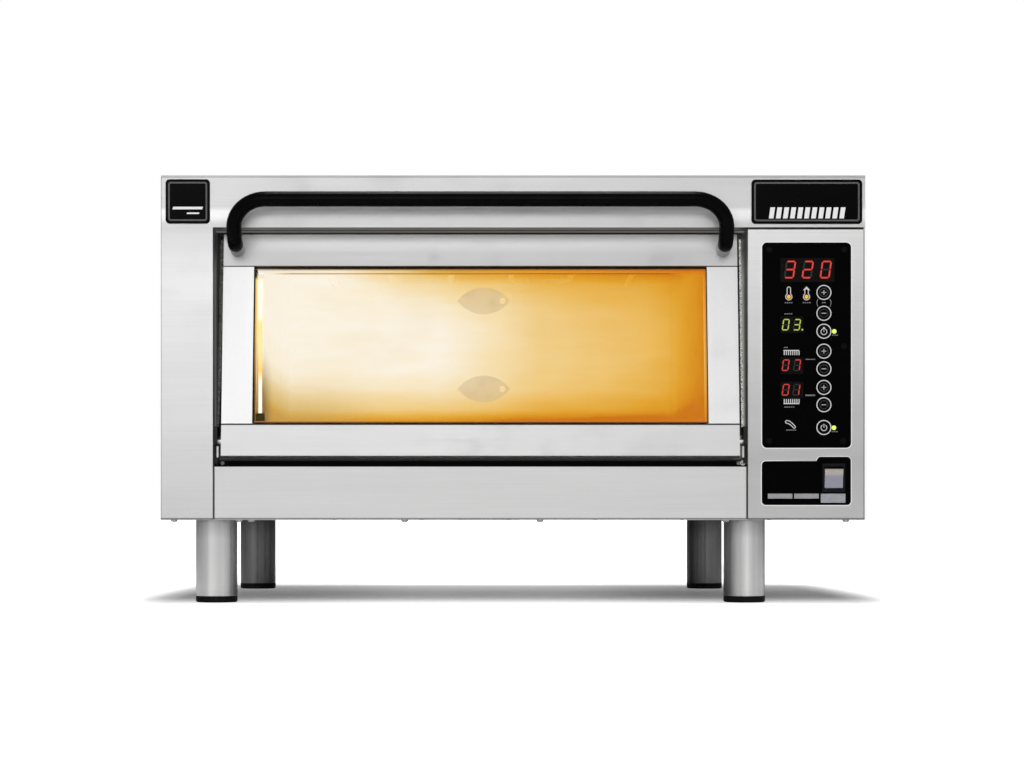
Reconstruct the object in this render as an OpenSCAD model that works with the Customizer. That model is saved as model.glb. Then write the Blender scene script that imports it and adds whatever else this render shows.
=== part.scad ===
// Countertop pizza oven with a drop-down glass door.
// Millimetres. +X to the right, +Z up, the door faces -Y. The origin is on the surface that the
// oven stands on, at the middle of the whole object.

/* [Casing] */
// Width of the casing
body_w = 700; // [690:1:720]
// Depth of the casing, front face to rear face
body_d = 580; // [570:5:620]
// Height of the casing without its legs
body_h = 342.5; // [338:0.5:348]
// Thickness of the casing sheet
sheet = 1.5; // [1:0.1:2]
// Height of the band above the door
hood_h = 51.5; // [49:0.5:53]
// Width of the pillar left of the door
pillar_w = 51.5; // [48:0.5:55]
// Width of the control column right of the door
column_w = 116.5; // [114:0.5:120]
// Height of the panel below the door
sill_h = 52; // [46:0.5:53]

/* [Legs] */
// Height of a leg with its foot
leg_h = 83; // [70:1:110]
// Diameter of a leg tube
leg_d = 42; // [36:0.5:46]
// Height of the black foot under the tube
foot_h = 6.5; // [4:0.5:8]
// Half the distance between the left and right legs
leg_half_x = 267; // [240:1:275]
// Distance from the casing front to the front legs
leg_front = 45; // [40:1:60]
// Distance between front and rear legs
leg_run = 440; // [400:5:500]

/* [Door] */
// Angle that the closed door leans back
lean = 7.5; // [6:0.5:8]
// Gap between the door and the bay on each side
door_gap = 8; // [7:0.5:9]
// Height of the door above its hinge axis
door_top = 209; // [205:0.5:210]
// Length of the door below its hinge axis
door_tail = 16; // [14:0.5:18]
// Height of the top rail
top_rail_h = 33; // [30:0.5:36]
// Width of a stile
stile_w = 30.7; // [28:0.1:34]
// Radius of a hinge pin
pin_r = 4; // [3:0.5:5]

/* [Handle] */
// Diameter of the handle tube
grip_d = 15; // [12:0.5:18]
// Half the distance between the two handle legs
grip_half_x = 243.8; // [220:0.2:245]
// Radius of the corner bends
grip_bend = 33; // [30:1:38]

/* [Keypad] */
// Width of the black overlay
overlay_w = 88.5; // [86:0.5:92]
// Height of the black overlay
overlay_h = 204; // [202:0.5:208]
// Diameter of a key
key_d = 15.6; // [13:0.2:16]
// How far a key travels
key_travel = 0.6; // [0.4:0.1:0.8]

/* [Hidden] */
$fn = 48;

steel = "gainsboro";
dark_steel = "dimgray";
black = "#101012";

// Casing planes
base_z = leg_h;
top_z = base_z + body_h;
left_x = -body_w / 2;
right_x = body_w / 2;
bay_left = left_x + pillar_w;
bay_right = right_x - column_w;
bay_x = (bay_left + bay_right) / 2;
bay_half = (bay_right - bay_left) / 2;
bay_top = top_z - hood_h;
sill_top = base_z + 1 + sill_h;
return_d = 18;
side_flange = 12;
joint_gap = 0.4;

// Door frame: the hinge axis, and the door's layers measured forward (-) and back (+) from it
axis_in = 14;
axis_up = 78.3;
skin_front = -12;
rail_back = 5;
inner_back = 20;
door_half = bay_half - door_gap;
inner_low = 14;
throat_front = 26;
window_half = door_half - stile_w;
window_low = door_tail + joint_gap;
window_high = door_top - top_rail_h;
pan_rim = 1;

// Handle: a spacer on the door, an end bend, a short run and a corner bend in a tilted plane
grip_r = grip_d / 2;
grip_foot_up = 193.4;
spacer_l = 20.5;
end_bend = 20;
grip_tilt = 47;
grip_run = 7;
grip_out = spacer_l + end_bend * sin(grip_tilt) + (grip_run + grip_bend) * cos(grip_tilt);
grip_up = grip_foot_up + end_bend * (1 - cos(grip_tilt)) + (grip_run + grip_bend) * sin(grip_tilt);
grip_proud = (grip_out - skin_front) * cos(lean) - grip_up * sin(lean) - axis_in + grip_r;

// Cable gland behind the rear panel
gland_out = 24;
gland_x = 300;
gland_z = base_z + 40;
gland_bore_r = 6.5;
gland_neck_r = 9.9;

front_y = (grip_proud - body_d - gland_out) / 2;
rear_y = front_y + body_d;
axis_y = front_y + axis_in;
axis_z = base_z + axis_up;

// Chamber: the inside faces of its shell
chamber_half = 230;
chamber_floor = base_z + 57;
chamber_roof = base_z + 290;
chamber_back = front_y + 505;
shell = 1.5;
stone_t = 18;
stone_top = axis_z + 20;
mouth_low = 24;
mouth_high = 186;
throat_low = -23;
throat_high = 217;
liner_depth = 70;

// Heating elements
element_r = 3.25;
element_runs = 6;
element_pitch = 70;
element_front = front_y + 110;
element_rear = front_y + 440;
upper_element_z = chamber_roof - 7;
lower_element_z = chamber_floor + 12;
terminal_y = rear_y - 12;

// Keypad places: the keys' heights, and the displays
key_x = 308.6;
key_z = [309, 288.3, 270.5, 250.7, 233.2, 214.7, 197.5, 174.9];
overlay_x = 291.5;
overlay_z = 256.7;
overlay_t = 1;
overlay_corner = 5;
key_slack = 0.25;
big_display = [53.7, 23.8];
big_display_at = [292.4, 331.4];
small_display = [22.6, 16.4];
small_display_x = 277;
small_display_z = [277, 236.3, 212.2];
display_slack = 0.2;
lamp_dot_at = [[319, 270.4], [318.7, 174.7]];
lamp_dot_r = 2.2;
board_y = front_y + 9;
board_t = 1.6;
board_size = [80, 196];

// Main switch
switch_at = [318.3, 125];
switch_bezel = [22.6, 28.4];
switch_body = [19.6, 24.4];
rocker_size = [18, 20.2];
rocker_angle = 12;
rocker_axis_y = front_y + 1;
rocker_pin_r = 1.5;

// ---------- Shapes ----------

// Moves a shape drawn round the hinge axis to the closed, leaning door's place
module at_door() {
    translate([bay_x, axis_y, axis_z]) rotate([-lean, 0, 0]) children();
}

// A shape and its mirror image to the left
module both_sides() {
    children();
    mirror([1, 0, 0]) children();
}

// Box from its lowest to its highest corner
module block(low, high) {
    translate(low) cube(high - low);
}

// Rectangle with round corners, centred
module round_rect(size, r) {
    square([size[0] - 2 * r, size[1]], center = true);
    square([size[0], size[1] - 2 * r], center = true);
    for (x = [-1, 1], y = [-1, 1])
        translate([x * (size[0] / 2 - r), y * (size[1] / 2 - r)]) circle(r);
}

// Plate on the front face: a flat outline at [x, z], from depth y to y + t
module front_plate(at, y, t) {
    translate([at[0], y + t, at[1]]) rotate([90, 0, 0]) linear_extrude(t) children();
}

// Round bar along Y, at [x, z]
module bar_y(at, y0, y1, r) {
    translate([at[0], y0, at[1]]) rotate([-90, 0, 0]) cylinder(h = y1 - y0, r = r);
}

// Pan screw head on top of the plane z = 0
module pan_head(r, h) {
    difference() {
        rotate_extrude() polygon([[0, 0], [r, 0], [r, h * 0.5], [r * 0.7, h], [0, h]]);
        for (a = [0, 90]) rotate([0, 0, a]) translate([-r / 2, -r / 10, h / 2]) cube([r, r / 5, h]);
    }
}

// A row of parallel slots as flat outlines, centred
module slots(count, pitch, length, width) {
    for (i = [0 : count - 1])
        translate([(i - (count - 1) / 2) * pitch, 0]) {
            square([width, length - width], center = true);
            for (s = [-1, 1]) translate([0, s * (length - width) / 2]) circle(width / 2, $fn = 24);
        }
}

// Everything in front of a plane that lies behind the door, y measured from the hinge axis
module in_front_of(y) {
    at_door() translate([-400, y - 400, -200]) cube([800, 400, 600]);
}

// Everything behind that plane
module behind(y) {
    at_door() translate([-400, y, -200]) cube([800, 900, 600]);
}

// ---------- Casing ----------

// The band over the door and the left pillar, one folded sheet with returns into the bay
module front_panel() {
    color(steel) {
        block([left_x, front_y, bay_top], [right_x, front_y + sheet, top_z - sheet]);
        block([left_x, front_y, base_z + 0.5], [bay_left, front_y + sheet, bay_top]);
        block([bay_left - sheet, front_y, base_z + sheet + 0.2], [bay_left, front_y + return_d, bay_top]);
        block([bay_left - sheet, front_y, bay_top], [bay_right, front_y + return_d, bay_top + sheet]);
    }
}

module column_panel() {
    column_top = bay_top - 2.3;
    column_right = right_x - 1.2;
    color(steel) difference() {
        union() {
            block([bay_right, front_y, base_z + 0.5], [column_right, front_y + sheet, column_top]);
            block([bay_right, front_y, base_z + sheet + 0.2],
                  [bay_right + sheet, front_y + return_d, column_top]);
            block([bay_right, front_y, column_top - sheet], [column_right, front_y + 12, column_top]);
        }
        front_plate([overlay_x, overlay_z], front_y - 1, 4) square(board_size, center = true);
        front_plate(switch_at, front_y - 1, 4) square(switch_body + [0.6, 0.6], center = true);
    }
}

module sill_panel() {
    gap = 0.8;
    color(steel) {
        block([bay_left + gap, front_y, base_z + 1], [bay_right - gap, front_y + sheet, sill_top]);
        block([bay_left + gap, front_y, sill_top - sheet], [bay_right - gap, front_y + return_d, sill_top]);
    }
}

module top_cover() {
    color(steel) {
        block([left_x, front_y, top_z - sheet], [right_x, rear_y, top_z]);
        for (x = [left_x + sheet + 0.1, right_x - 2 * sheet - 0.1])
            block([x, front_y + 20, top_z - 16], [x + sheet, rear_y - 20, top_z - sheet]);
    }
}

module left_side_panel() {
    color(steel) {
        block([left_x, front_y + sheet, base_z + sheet], [left_x + sheet, rear_y, top_z - sheet]);
        block([left_x, rear_y - sheet, base_z + sheet], [left_x + side_flange, rear_y, top_z - sheet]);
    }
}

// The electronics side breathes through three rows of slots
module right_side_panel() {
    color(steel) difference() {
        union() {
            block([right_x - sheet, front_y + sheet, base_z + sheet], [right_x, rear_y, top_z - sheet]);
            block([right_x - side_flange, rear_y - sheet, base_z + sheet], [right_x, rear_y, top_z - sheet]);
        }
        for (z = [140, 255, 370])
            translate([right_x - 5, front_y + 360, z]) rotate([90, 0, 90])
                linear_extrude(10) slots(18, 14, 46, 4);
    }
}

module rear_panel() {
    edge_x = body_w / 2 - side_flange - 0.2;
    color(steel) difference() {
        block([-edge_x, rear_y - sheet, base_z + sheet], [edge_x, rear_y, top_z - sheet - 0.2]);
        bar_y([gland_x, gland_z], rear_y - 5, rear_y + 5, gland_neck_r + 0.3);
        for (z = [250, 340]) front_plate([285, z], rear_y - 4, 8) slots(8, 11, 56, 4);
    }
}

module base_plate() {
    color(steel) difference() {
        block([left_x, front_y + sheet + 0.2, base_z], [right_x, rear_y, base_z + sheet]);
        for (p = leg_places()) translate([p[0], p[1], base_z - 1]) cylinder(h = 5, r = 6.2);
        translate([290, front_y + 230, base_z - 1]) rotate([0, 0, 90])
            linear_extrude(5) slots(16, 12, 70, 4);
    }
}

// The four sides of the bay that the door closes into
module bay_liner() {
    y0 = front_y + return_d;
    floor_z = sill_top - sheet;
    color(dark_steel) difference() {
        block([bay_left - sheet, y0, floor_z - sheet],
              [bay_right + sheet, axis_y + liner_depth, bay_top + sheet]);
        block([bay_left, y0 - 1, floor_z], [bay_right, axis_y + liner_depth + 1, bay_top]);
        behind(throat_front);
    }
}

// Leaning plate round the chamber's mouth, which the gasket lies on
module throat_plate() {
    color(dark_steel) at_door() difference() {
        block([-bay_half + 0.1, throat_front + 0.1, throat_low],
              [bay_half - 0.1, throat_front + sheet, throat_high]);
        block([-chamber_half, throat_front - 5, mouth_low], [chamber_half, throat_front + 10, mouth_high]);
    }
}

// Woven seal that the closed door rests against
module door_gasket() {
    outer = bay_half - 0.6;
    band = 12;
    y0 = inner_back + joint_gap;
    color("silver") at_door() difference() {
        block([-outer, y0, inner_low - 4], [outer, throat_front, door_top + 3]);
        block([-outer + band, y0 - 1, mouth_low - 3],
              [outer - band, throat_front + 1, door_top - 9]);
    }
}

// ---------- Chamber ----------

module chamber_shell() {
    color("darkgoldenrod") difference() {
        block([bay_x - chamber_half - shell, front_y, chamber_floor - shell],
              [bay_x + chamber_half + shell, chamber_back + shell, chamber_roof + shell]);
        block([bay_x - chamber_half, front_y - 1, chamber_floor],
              [bay_x + chamber_half, chamber_back, chamber_roof]);
        in_front_of(throat_front + sheet);
        element_exits(element_r + 0.4);
        bar_x(thermocouple_at, bay_x + chamber_half - 5, bay_x + chamber_half + 5, probe_r + 0.3);
    }
}

// Holes where the element ends pass through the rear
module element_exits(r) {
    for (z = [upper_element_z, lower_element_z], s = [-1, 1])
        bar_y([bay_x + s * element_pitch * (element_runs - 1) / 2, z], chamber_back - 5, rear_y - 5, r);
}

// Round bar along X, at [y, z]
module bar_x(at, x0, x1, r) {
    translate([x0, at[0], at[1]]) rotate([0, 90, 0]) cylinder(h = x1 - x0, r = r);
}

insulation_y0 = front_y + 76;
insulation_y1 = rear_y - 25;
insulation_floor_z = base_z + 8;
shell_left = bay_x - chamber_half - shell;
shell_right = bay_x + chamber_half + shell;

// Over the roof and down both sides, one folded blanket
module insulation_blanket() {
    left = left_x + sheet + 6;
    right = shell_right + 28;
    color("khaki") difference() {
        block([left, insulation_y0, insulation_floor_z + 60],
              [right, insulation_y1, top_z - sheet - 3]);
        block([shell_left - 0.2, insulation_y0 - 1, insulation_floor_z],
              [shell_right + 0.2, insulation_y1 + 1, chamber_roof + shell + 0.2]);
        block([left_x, insulation_y0 - 1, top_z - 20], [left + 5, insulation_y1 + 1, top_z]);
        bar_x(thermocouple_at, shell_right - 5, right + 5, probe_r + 0.3);
    }
}

// Slabs under the chamber floor and behind the rear wall
module insulation_slabs() {
    color("khaki") difference() {
        block([shell_left, insulation_y0, insulation_floor_z],
              [shell_right, insulation_y1, chamber_floor - shell - 0.2]);
        for (p = leg_places()) translate([p[0], p[1], base_z]) cylinder(h = 30, r = 32);
    }
    color("khaki") difference() {
        block([shell_left, chamber_back + shell + 0.2, chamber_floor],
              [shell_right, insulation_y1, chamber_roof]);
        element_exits(element_r + 1);
    }
}

// Wall between the insulation and the control column
module heat_shield() {
    color(dark_steel) difference() {
        block([shell_right + 28.5, insulation_y0, base_z + 14],
              [shell_right + 29.7, rear_y - 6, top_z - sheet - 3]);
        bar_x(thermocouple_at, shell_right, shell_right + 40, probe_r + 0.3);
    }
}

module hearth_stone() {
    color("tan") block([bay_x - chamber_half + 2, front_y + 50, stone_top - stone_t],
                       [bay_x + chamber_half - 2, chamber_back - 3, stone_top]);
}

module stone_ledges() {
    color(dark_steel) translate([bay_x, 0, 0]) both_sides() {
        z = stone_top - stone_t;
        block([chamber_half - 14, front_y + 60, z - 2], [chamber_half, chamber_back - 20, z]);
        block([chamber_half - 2, front_y + 60, z - 12], [chamber_half, chamber_back - 20, z - 2]);
    }
}

// Serpentine tube heater lying flat at height z, with both ends out through the rear
module element(z) {
    last = element_runs - 1;
    x0 = -last * element_pitch / 2;
    bend_r = element_pitch / 2;
    translate([bay_x, 0, z]) {
        for (i = [0 : last])
            bar_y([x0 + i * element_pitch, 0], element_front,
                  i == 0 || i == last ? terminal_y : element_rear, element_r);
        for (i = [0 : last - 1])
            translate([x0 + (i + 0.5) * element_pitch, i % 2 == 0 ? element_front : element_rear, 0])
                rotate([0, 0, i % 2 == 0 ? 180 : 0])
                    rotate_extrude(angle = 180) translate([bend_r, 0]) circle(element_r, $fn = 24);
    }
}

module heating_elements() {
    color("orangered") {
        element(upper_element_z);
        element(lower_element_z);
    }
}

// Flat bars that carry the elements along the roof and over the floor
module element_supports() {
    reach = element_pitch * (element_runs - 1) / 2 + 12;
    color(dark_steel) for (y = [element_front + 40, element_rear - 60]) {
        block([bay_x - reach, y, upper_element_z + element_r + 0.1], [bay_x + reach, y + 14, chamber_roof]);
        block([bay_x - reach, y, chamber_floor], [bay_x + reach, y + 4, lower_element_z - element_r - 0.1]);
    }
}

lamp_x = bay_x - chamber_half + 4;
lamp_y = front_y + 76;
lamp_low = 192;
lamp_high = 330;

// Slim lamp that lights the chamber from just inside its left wall
module lamp_tube() {
    color("lightyellow") translate([lamp_x, lamp_y, lamp_low]) cylinder(h = lamp_high - lamp_low, r = 3.4);
}

module lamp_sockets() {
    color("silver") for (z = [lamp_low - 8, lamp_high])
        block([bay_x - chamber_half, lamp_y - 5, z], [lamp_x + 4.5, lamp_y + 5, z + 8]);
}

cover_x = bay_x + 3;
cover_z = [239.5, 345.5];
cover_half = [31.3, 16];

// Pointed oval plates that cover the openings in the chamber's rear wall
module wall_covers() {
    r = (pow(cover_half[0], 2) + pow(cover_half[1], 2)) / (2 * cover_half[1]);
    color("tan") for (z = cover_z) front_plate([cover_x, z], chamber_back - 1.5, 1.5)
        intersection_for(s = [-1, 1]) translate([0, s * (r - cover_half[1])]) circle(r, $fn = 96);
}

thermocouple_at = [front_y + 125, chamber_roof - 17];
probe_r = 3;

// Sheathed probe through the chamber's right wall
module thermocouple() {
    color(steel) {
        bar_x(thermocouple_at, bay_x + chamber_half - 45, shell_right + 45, probe_r);
        bar_x(thermocouple_at, shell_right + 32, shell_right + 45, 2 * probe_r);
    }
}

// ---------- Hinges ----------

// A plate on each side wall of the bay, with the bore that a hinge pin turns in
module hinge_brackets() {
    thick = 4;
    color(black) for (s = [-1, 1]) translate([bay_x + s * (bay_half - thick / 2), axis_y, axis_z])
        rotate([90, 0, 90]) translate([0, 0, -thick / 2]) linear_extrude(thick) difference() {
            union() {
                translate([-11, -2]) square([22, 17]);
                translate([-7, -22]) square([14, 22]);
                circle(9);
            }
            circle(pin_r + 0.05);
        }
}

module hinge_pins() {
    color(steel) translate([bay_x, axis_y, axis_z]) both_sides() {
        bar_x([0, 0], door_half - 10, bay_half - 0.3, pin_r);
        bar_x([0, 0], door_half - 10, door_half - 3.1, pin_r + 2);
    }
}

// ---------- Legs ----------

function leg_places() = [for (x = [-1, 1], y = [0, 1])
    [bay_x + x * leg_half_x, front_y + leg_front + y * leg_run]];

leg_wall = 2;
leg_cap = 5;
bolt_r = 5;

// Each tube has a welded cap on top, which its bolt passes through
module leg_tubes() {
    color(steel) for (p = leg_places()) translate([p[0], p[1], 0]) difference() {
        translate([0, 0, foot_h]) cylinder(h = base_z - foot_h, d = leg_d, $fn = 96);
        translate([0, 0, foot_h - 1])
            cylinder(h = base_z - leg_cap - foot_h + 1, d = leg_d - 2 * leg_wall);
        translate([0, 0, base_z - leg_cap - 3]) cylinder(h = leg_cap + 5, r = bolt_r + 0.3);
    }
}

// Hexagon bolts that hold the legs up under the base plate, each through a spreader plate
module leg_bolts() {
    color("silver") for (p = leg_places()) translate([p[0], p[1], 0]) {
        translate([0, 0, base_z - 14]) cylinder(h = 19, r = bolt_r);
        translate([0, 0, base_z + sheet + 0.1]) cylinder(h = 2.4, r = 20);
        translate([0, 0, base_z + sheet + 2.5]) cylinder(h = 6, r = 8.5, $fn = 6);
        translate([0, 0, base_z - 12]) cylinder(h = 6.5, r = 8.5, $fn = 6);
    }
}

module leg_feet() {
    edge = 1.2;
    color(black) for (p = leg_places()) translate([p[0], p[1], 0]) {
        cylinder(h = edge, r1 = leg_d / 2 - edge, r2 = leg_d / 2);
        translate([0, 0, edge]) cylinder(h = foot_h - edge, d = leg_d);
        translate([0, 0, foot_h]) cylinder(h = 14, d = leg_d - 2 * leg_wall - 0.4);
    }
}

// ---------- Fasteners and badges ----------

front_screw_x = [-338, -273, -261, -108, 27, 212, 332];

// Screws under the front and rear edges, on the rear panel, in the bay and on the wall covers
module casing_screws() {
    color("silver") {
        for (x = front_screw_x) translate([x, front_y + 9, base_z]) rotate([180, 0, 0]) pan_head(3.5, 2);
        for (x = [left_x + 30 : 107 : right_x - 20])
            translate([x, rear_y - 12, base_z]) rotate([180, 0, 0]) pan_head(3.5, 2);
        for (x = [left_x + 24, bay_x, right_x - 24], z = [base_z + 20, top_z - 20])
            translate([x, rear_y, z]) rotate([-90, 0, 0]) pan_head(3.5, 2);
        at_door() for (s = [-1, 1]) translate([s * (bay_half - 5.5), throat_front + 0.1, -18])
            rotate([90, 0, 0]) pan_head(2.4, 1.6);
        for (z = cover_z) translate([cover_x + 21.6, chamber_back - 1.5, z])
            rotate([90, 0, 0]) pan_head(2.6, 1.4);
    }
}

// Name plate with a raised line round its edge
module badge(at, size) {
    border = 2.6;
    line = 1.6;
    color(black) {
        front_plate(at, front_y - 1, 1) round_rect(size, 4);
        front_plate(at, front_y - 1.3, 0.3) difference() {
            round_rect(size - 2 * [border, border], 2.5);
            round_rect(size - 2 * [border + line, border + line], 1.5);
        }
    }
}

module series_badge() {
    badge([-323.2, 399.5], [44, 44]);
}

module name_badge() {
    badge([291.8, 399.2], [110, 44]);
}

// ---------- Keypad ----------

module control_overlay() {
    color(black) difference() {
        front_plate([overlay_x, overlay_z], front_y - overlay_t, overlay_t)
            round_rect([overlay_w, overlay_h], overlay_corner);
        for (z = key_z) bar_y([key_x, z], front_y - 3, front_y + 3, key_d / 2 + key_slack);
        for (p = lamp_dot_at) bar_y(p, front_y - 3, front_y + 3, lamp_dot_r + 0.1);
        front_plate(big_display_at, front_y - 3, 6)
            square(big_display + 2 * [display_slack, display_slack], center = true);
        for (z = small_display_z) front_plate([small_display_x, z], front_y - 3, 6)
            square(small_display + 2 * [display_slack, display_slack], center = true);
    }
}

// Display module: its lens fills the window in the overlay, and its back meets the board
module display(at, size) {
    front_plate(at, front_y - 0.8, board_y - front_y + 0.8) square(size, center = true);
}

module temperature_display() {
    color("#2a0606") display(big_display_at, big_display);
}

module zone_displays() {
    color("#2a0606") for (z = small_display_z) display([small_display_x, z], small_display);
}

module status_lamps() {
    color("yellowgreen") for (p = lamp_dot_at) bar_y(p, front_y - 1.3, board_y, lamp_dot_r);
}

module control_board() {
    margin = 6;
    color("darkgreen") {
        front_plate([overlay_x, overlay_z], board_y, board_t)
            square(board_size - [margin, margin], center = true);
        for (z = key_z) front_plate([key_x, z], board_y - 2.4, 2.4) square([6, 6], center = true);
        for (x = [-32, 32], z = [-88, 88])
            bar_y([overlay_x + x, overlay_z + z], board_y + board_t, board_y + 14, 3);
        front_plate([overlay_x, overlay_z], board_y + 14, 1.5) square(board_size - [2, 2], center = true);
    }
}

// Round key in its hole in the overlay, with a stem that reaches for its switch on the board
module key(index) {
    stem_end = board_y - 2.4 - key_travel - 0.3;
    color(black) {
        bar_y([key_x, key_z[index]], front_y - overlay_t - 0.9, front_y + 1.2, key_d / 2);
        bar_y([key_x, key_z[index]], front_y + 1.2, stem_end, 2);
    }
}

module key_temp_up() { key(0); }
module key_temp_down() { key(1); }
module key_timer() { key(2); }
module key_top_up() { key(3); }
module key_top_down() { key(4); }
module key_bottom_up() { key(5); }
module key_bottom_down() { key(6); }
module key_power() { key(7); }

// ---------- Main switch ----------

module switch_plate() {
    color(black) difference() {
        union() {
            front_plate([291.3, 119.7], front_y - 1, 1) round_rect([88.6, 43.6], 4);
            front_plate([318.7, 131], front_y - 1, 1) round_rect([33.8, 29.8], 4);
        }
        front_plate(switch_at, front_y - 3, 6) square(switch_body + [0.6, 0.6], center = true);
    }
}

// Snap-in housing: a bezel on the plate and a hollow body, with bores for the rocker's pivot
module switch_housing() {
    wall = 0.5;
    inner = rocker_size + [0.6, 0.6];
    color(black) difference() {
        union() {
            front_plate(switch_at, front_y - 3, 2) square(switch_bezel, center = true);
            front_plate(switch_at, front_y - 1, 24) square(switch_body, center = true);
        }
        front_plate(switch_at, front_y - 4, 20) square([inner[0], inner[1] + 1.6], center = true);
        bar_x([rocker_axis_y, switch_at[1]], switch_at[0] - 9.8 - wall, switch_at[0] + 9.8 + wall,
              rocker_pin_r + 0.05);
    }
}

// Rocker with two flat faces that meet at a shallow valley; its top stands out at rest
module main_rocker() {
    h = rocker_size[1] / 2;
    color("lightsteelblue") translate([switch_at[0], rocker_axis_y, switch_at[1]])
        rotate([rocker_angle, 0, 0]) {
            rotate([90, 0, 90]) translate([0, 0, -rocker_size[0] / 2]) linear_extrude(rocker_size[0])
                polygon([[-5.6, -h + 1], [-4.4, 0], [-5.6, h - 1], [-4.6, h - 0.3], [1, h - 1],
                         [6, 3], [6, -3], [1, -h + 1], [-4.6, -h + 0.3]]);
            bar_x([0, 0], -9.5, 9.5, rocker_pin_r);
        }
}

// ---------- Electrics ----------

electrics_x = shell_right + 60;
electrics_z = base_z + sheet + 0.3;

module contactors() {
    color("lightgray") for (i = [0, 1]) translate([electrics_x, front_y + 380 + i * 58, electrics_z]) {
        cube([78, 45, 60]);
        translate([10, 6, 60]) cube([58, 33, 18]);
    }
}

module transformer() {
    color("darkorange") translate([electrics_x + 6, front_y + 240, electrics_z]) {
        cube([66, 22, 56]);
        translate([11, -14, 12]) cube([44, 50, 32]);
    }
}

module terminal_block() {
    color("ivory") translate([electrics_x, front_y + 500, electrics_z]) difference() {
        cube([70, 26, 30]);
        for (i = [0 : 5]) translate([7.5 + i * 11, 13, 20]) cylinder(h = 15, r = 3.4);
    }
}

module cable_gland() {
    color(black) difference() {
        union() {
            bar_y([gland_x, gland_z], rear_y - sheet - 10, rear_y + 10, gland_neck_r);
            for (y = [rear_y - sheet - 6, rear_y]) translate([gland_x, y, gland_z]) rotate([-90, 0, 0])
                cylinder(h = 6, r = 15, $fn = 6);
            translate([gland_x, rear_y + 8, gland_z]) rotate([-90, 0, 0]) rotate_extrude()
                polygon([[0, 0], [12.5, 0], [12.5, 10], [9.5, 16], [0, 16]]);
        }
        bar_y([gland_x, gland_z], rear_y - 30, rear_y + 30, gland_bore_r);
    }
}

// ---------- Door ----------

// C-section that is open to the back, from z0 to z1 and x0 to x1, with its ends closed
module rail(x0, x1, z0, z1, end = sheet) {
    difference() {
        block([x0, skin_front, z0], [x1, rail_back, z1]);
        block([x0 + end, skin_front + sheet, z0 + sheet], [x1 - end, rail_back + 1, z1 - sheet]);
    }
}

module door_top_rail() {
    color(steel) at_door() rail(-door_half, door_half, window_high + joint_gap / 2, door_top);
}

// The end plates carry the hinge pins
module door_bottom_rail() {
    color(steel) difference() {
        at_door() rail(-door_half, door_half, -door_tail, door_tail, 3);
        translate([bay_x, axis_y, axis_z]) bar_x([0, 0], -300, 300, pin_r + 0.05);
    }
}

module door_stiles() {
    color(steel) at_door() both_sides()
        rail(window_half, door_half, window_low, window_high - joint_gap / 2);
}

// Folded pan behind the rails, which holds the inner pane and meets the gasket
module door_inner_frame() {
    x1 = window_half - pan_rim;
    z0 = window_low + pan_rim;
    z1 = window_high - pan_rim;
    color(dark_steel) at_door() difference() {
        block([-door_half + 0.2, rail_back + 0.2, inner_low], [door_half - 0.2, inner_back, door_top - 0.2]);
        block([-x1, 0, z0], [x1, inner_back + 1, z1]);
        difference() {
            block([-door_half + 1.7, 0, inner_low + 1.5],
                  [door_half - 1.7, inner_back - sheet, door_top - 1.7]);
            block([-x1 - sheet, -1, z0 - sheet], [x1 + sheet, inner_back, z1 + sheet]);
        }
    }
}

// Pane between the rails
module outer_glass() {
    rim = 1.2;
    color("lightyellow", 0.3) at_door()
        block([-window_half + rim, skin_front + 1, window_low + rim],
              [window_half - rim, skin_front + 5, window_high - rim - joint_gap / 2]);
}

// Pane in the pan
module inner_glass() {
    inset = pan_rim + 0.3;
    color("lightyellow", 0.3) at_door()
        block([-window_half + inset, inner_back - 8, window_low + inset],
              [window_half - inset, inner_back - 4, window_high - inset]);
}

module handle_spacers() {
    color("silver") at_door() for (s = [-1, 1]) translate([s * grip_half_x, skin_front, grip_foot_up])
        rotate([90, 0, 0]) cylinder(h = spacer_l, r = grip_r);
}

// Stations along the handle tube: its centre and the two directions across it. From the right
// spacer the tube bends up by grip_tilt, then turns left in the plane that it has reached.
function grip_along(t) = [0, -cos(t), sin(t)];
function grip_across(t) = [0, -sin(t), -cos(t)];
function grip_end(side, t) = [
    [side * grip_half_x, skin_front - spacer_l - end_bend * sin(t),
     grip_foot_up + end_bend * (1 - cos(t))],
    [side, 0, 0], grip_across(t)];
function grip_corner(side, c) = [
    grip_end(side, grip_tilt)[0] + grip_along(grip_tilt) * (grip_run + grip_bend * sin(c))
        - [side * grip_bend - grip_bend * cos(c), 0, 0],
    [cos(c), 0, 0] + grip_along(grip_tilt) * sin(c), grip_across(grip_tilt)];
end_steps = 7;
corner_steps = 12;
grip_stations = concat(
    [for (i = [0 : end_steps]) grip_end(1, grip_tilt * i / end_steps)],
    [for (i = [0 : corner_steps]) grip_corner(1, 90 * i / corner_steps)],
    [for (i = [0 : corner_steps]) grip_corner(-1, 90 + 90 * i / corner_steps)],
    [for (i = [end_steps : -1 : 0]) grip_end(-1, grip_tilt * i / end_steps)]);

// Tube swept along stations, with flat ends
module swept_tube(stations, r, sides) {
    last = len(stations) - 1;
    polyhedron(
        points = [for (p = stations, k = [0 : sides - 1])
            p[0] + r * (cos(360 * k / sides) * p[1] + sin(360 * k / sides) * p[2])],
        faces = concat(
            [[for (k = [0 : sides - 1]) k]],
            [[for (k = [sides - 1 : -1 : 0]) last * sides + k]],
            [for (i = [0 : last - 1], k = [0 : sides - 1]) let (n = (k + 1) % sides)
                [i * sides + n, i * sides + k, (i + 1) * sides + k, (i + 1) * sides + n]]));
}

module handle() {
    color(black) at_door() swept_tube(grip_stations, grip_r, 24);
}

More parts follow.
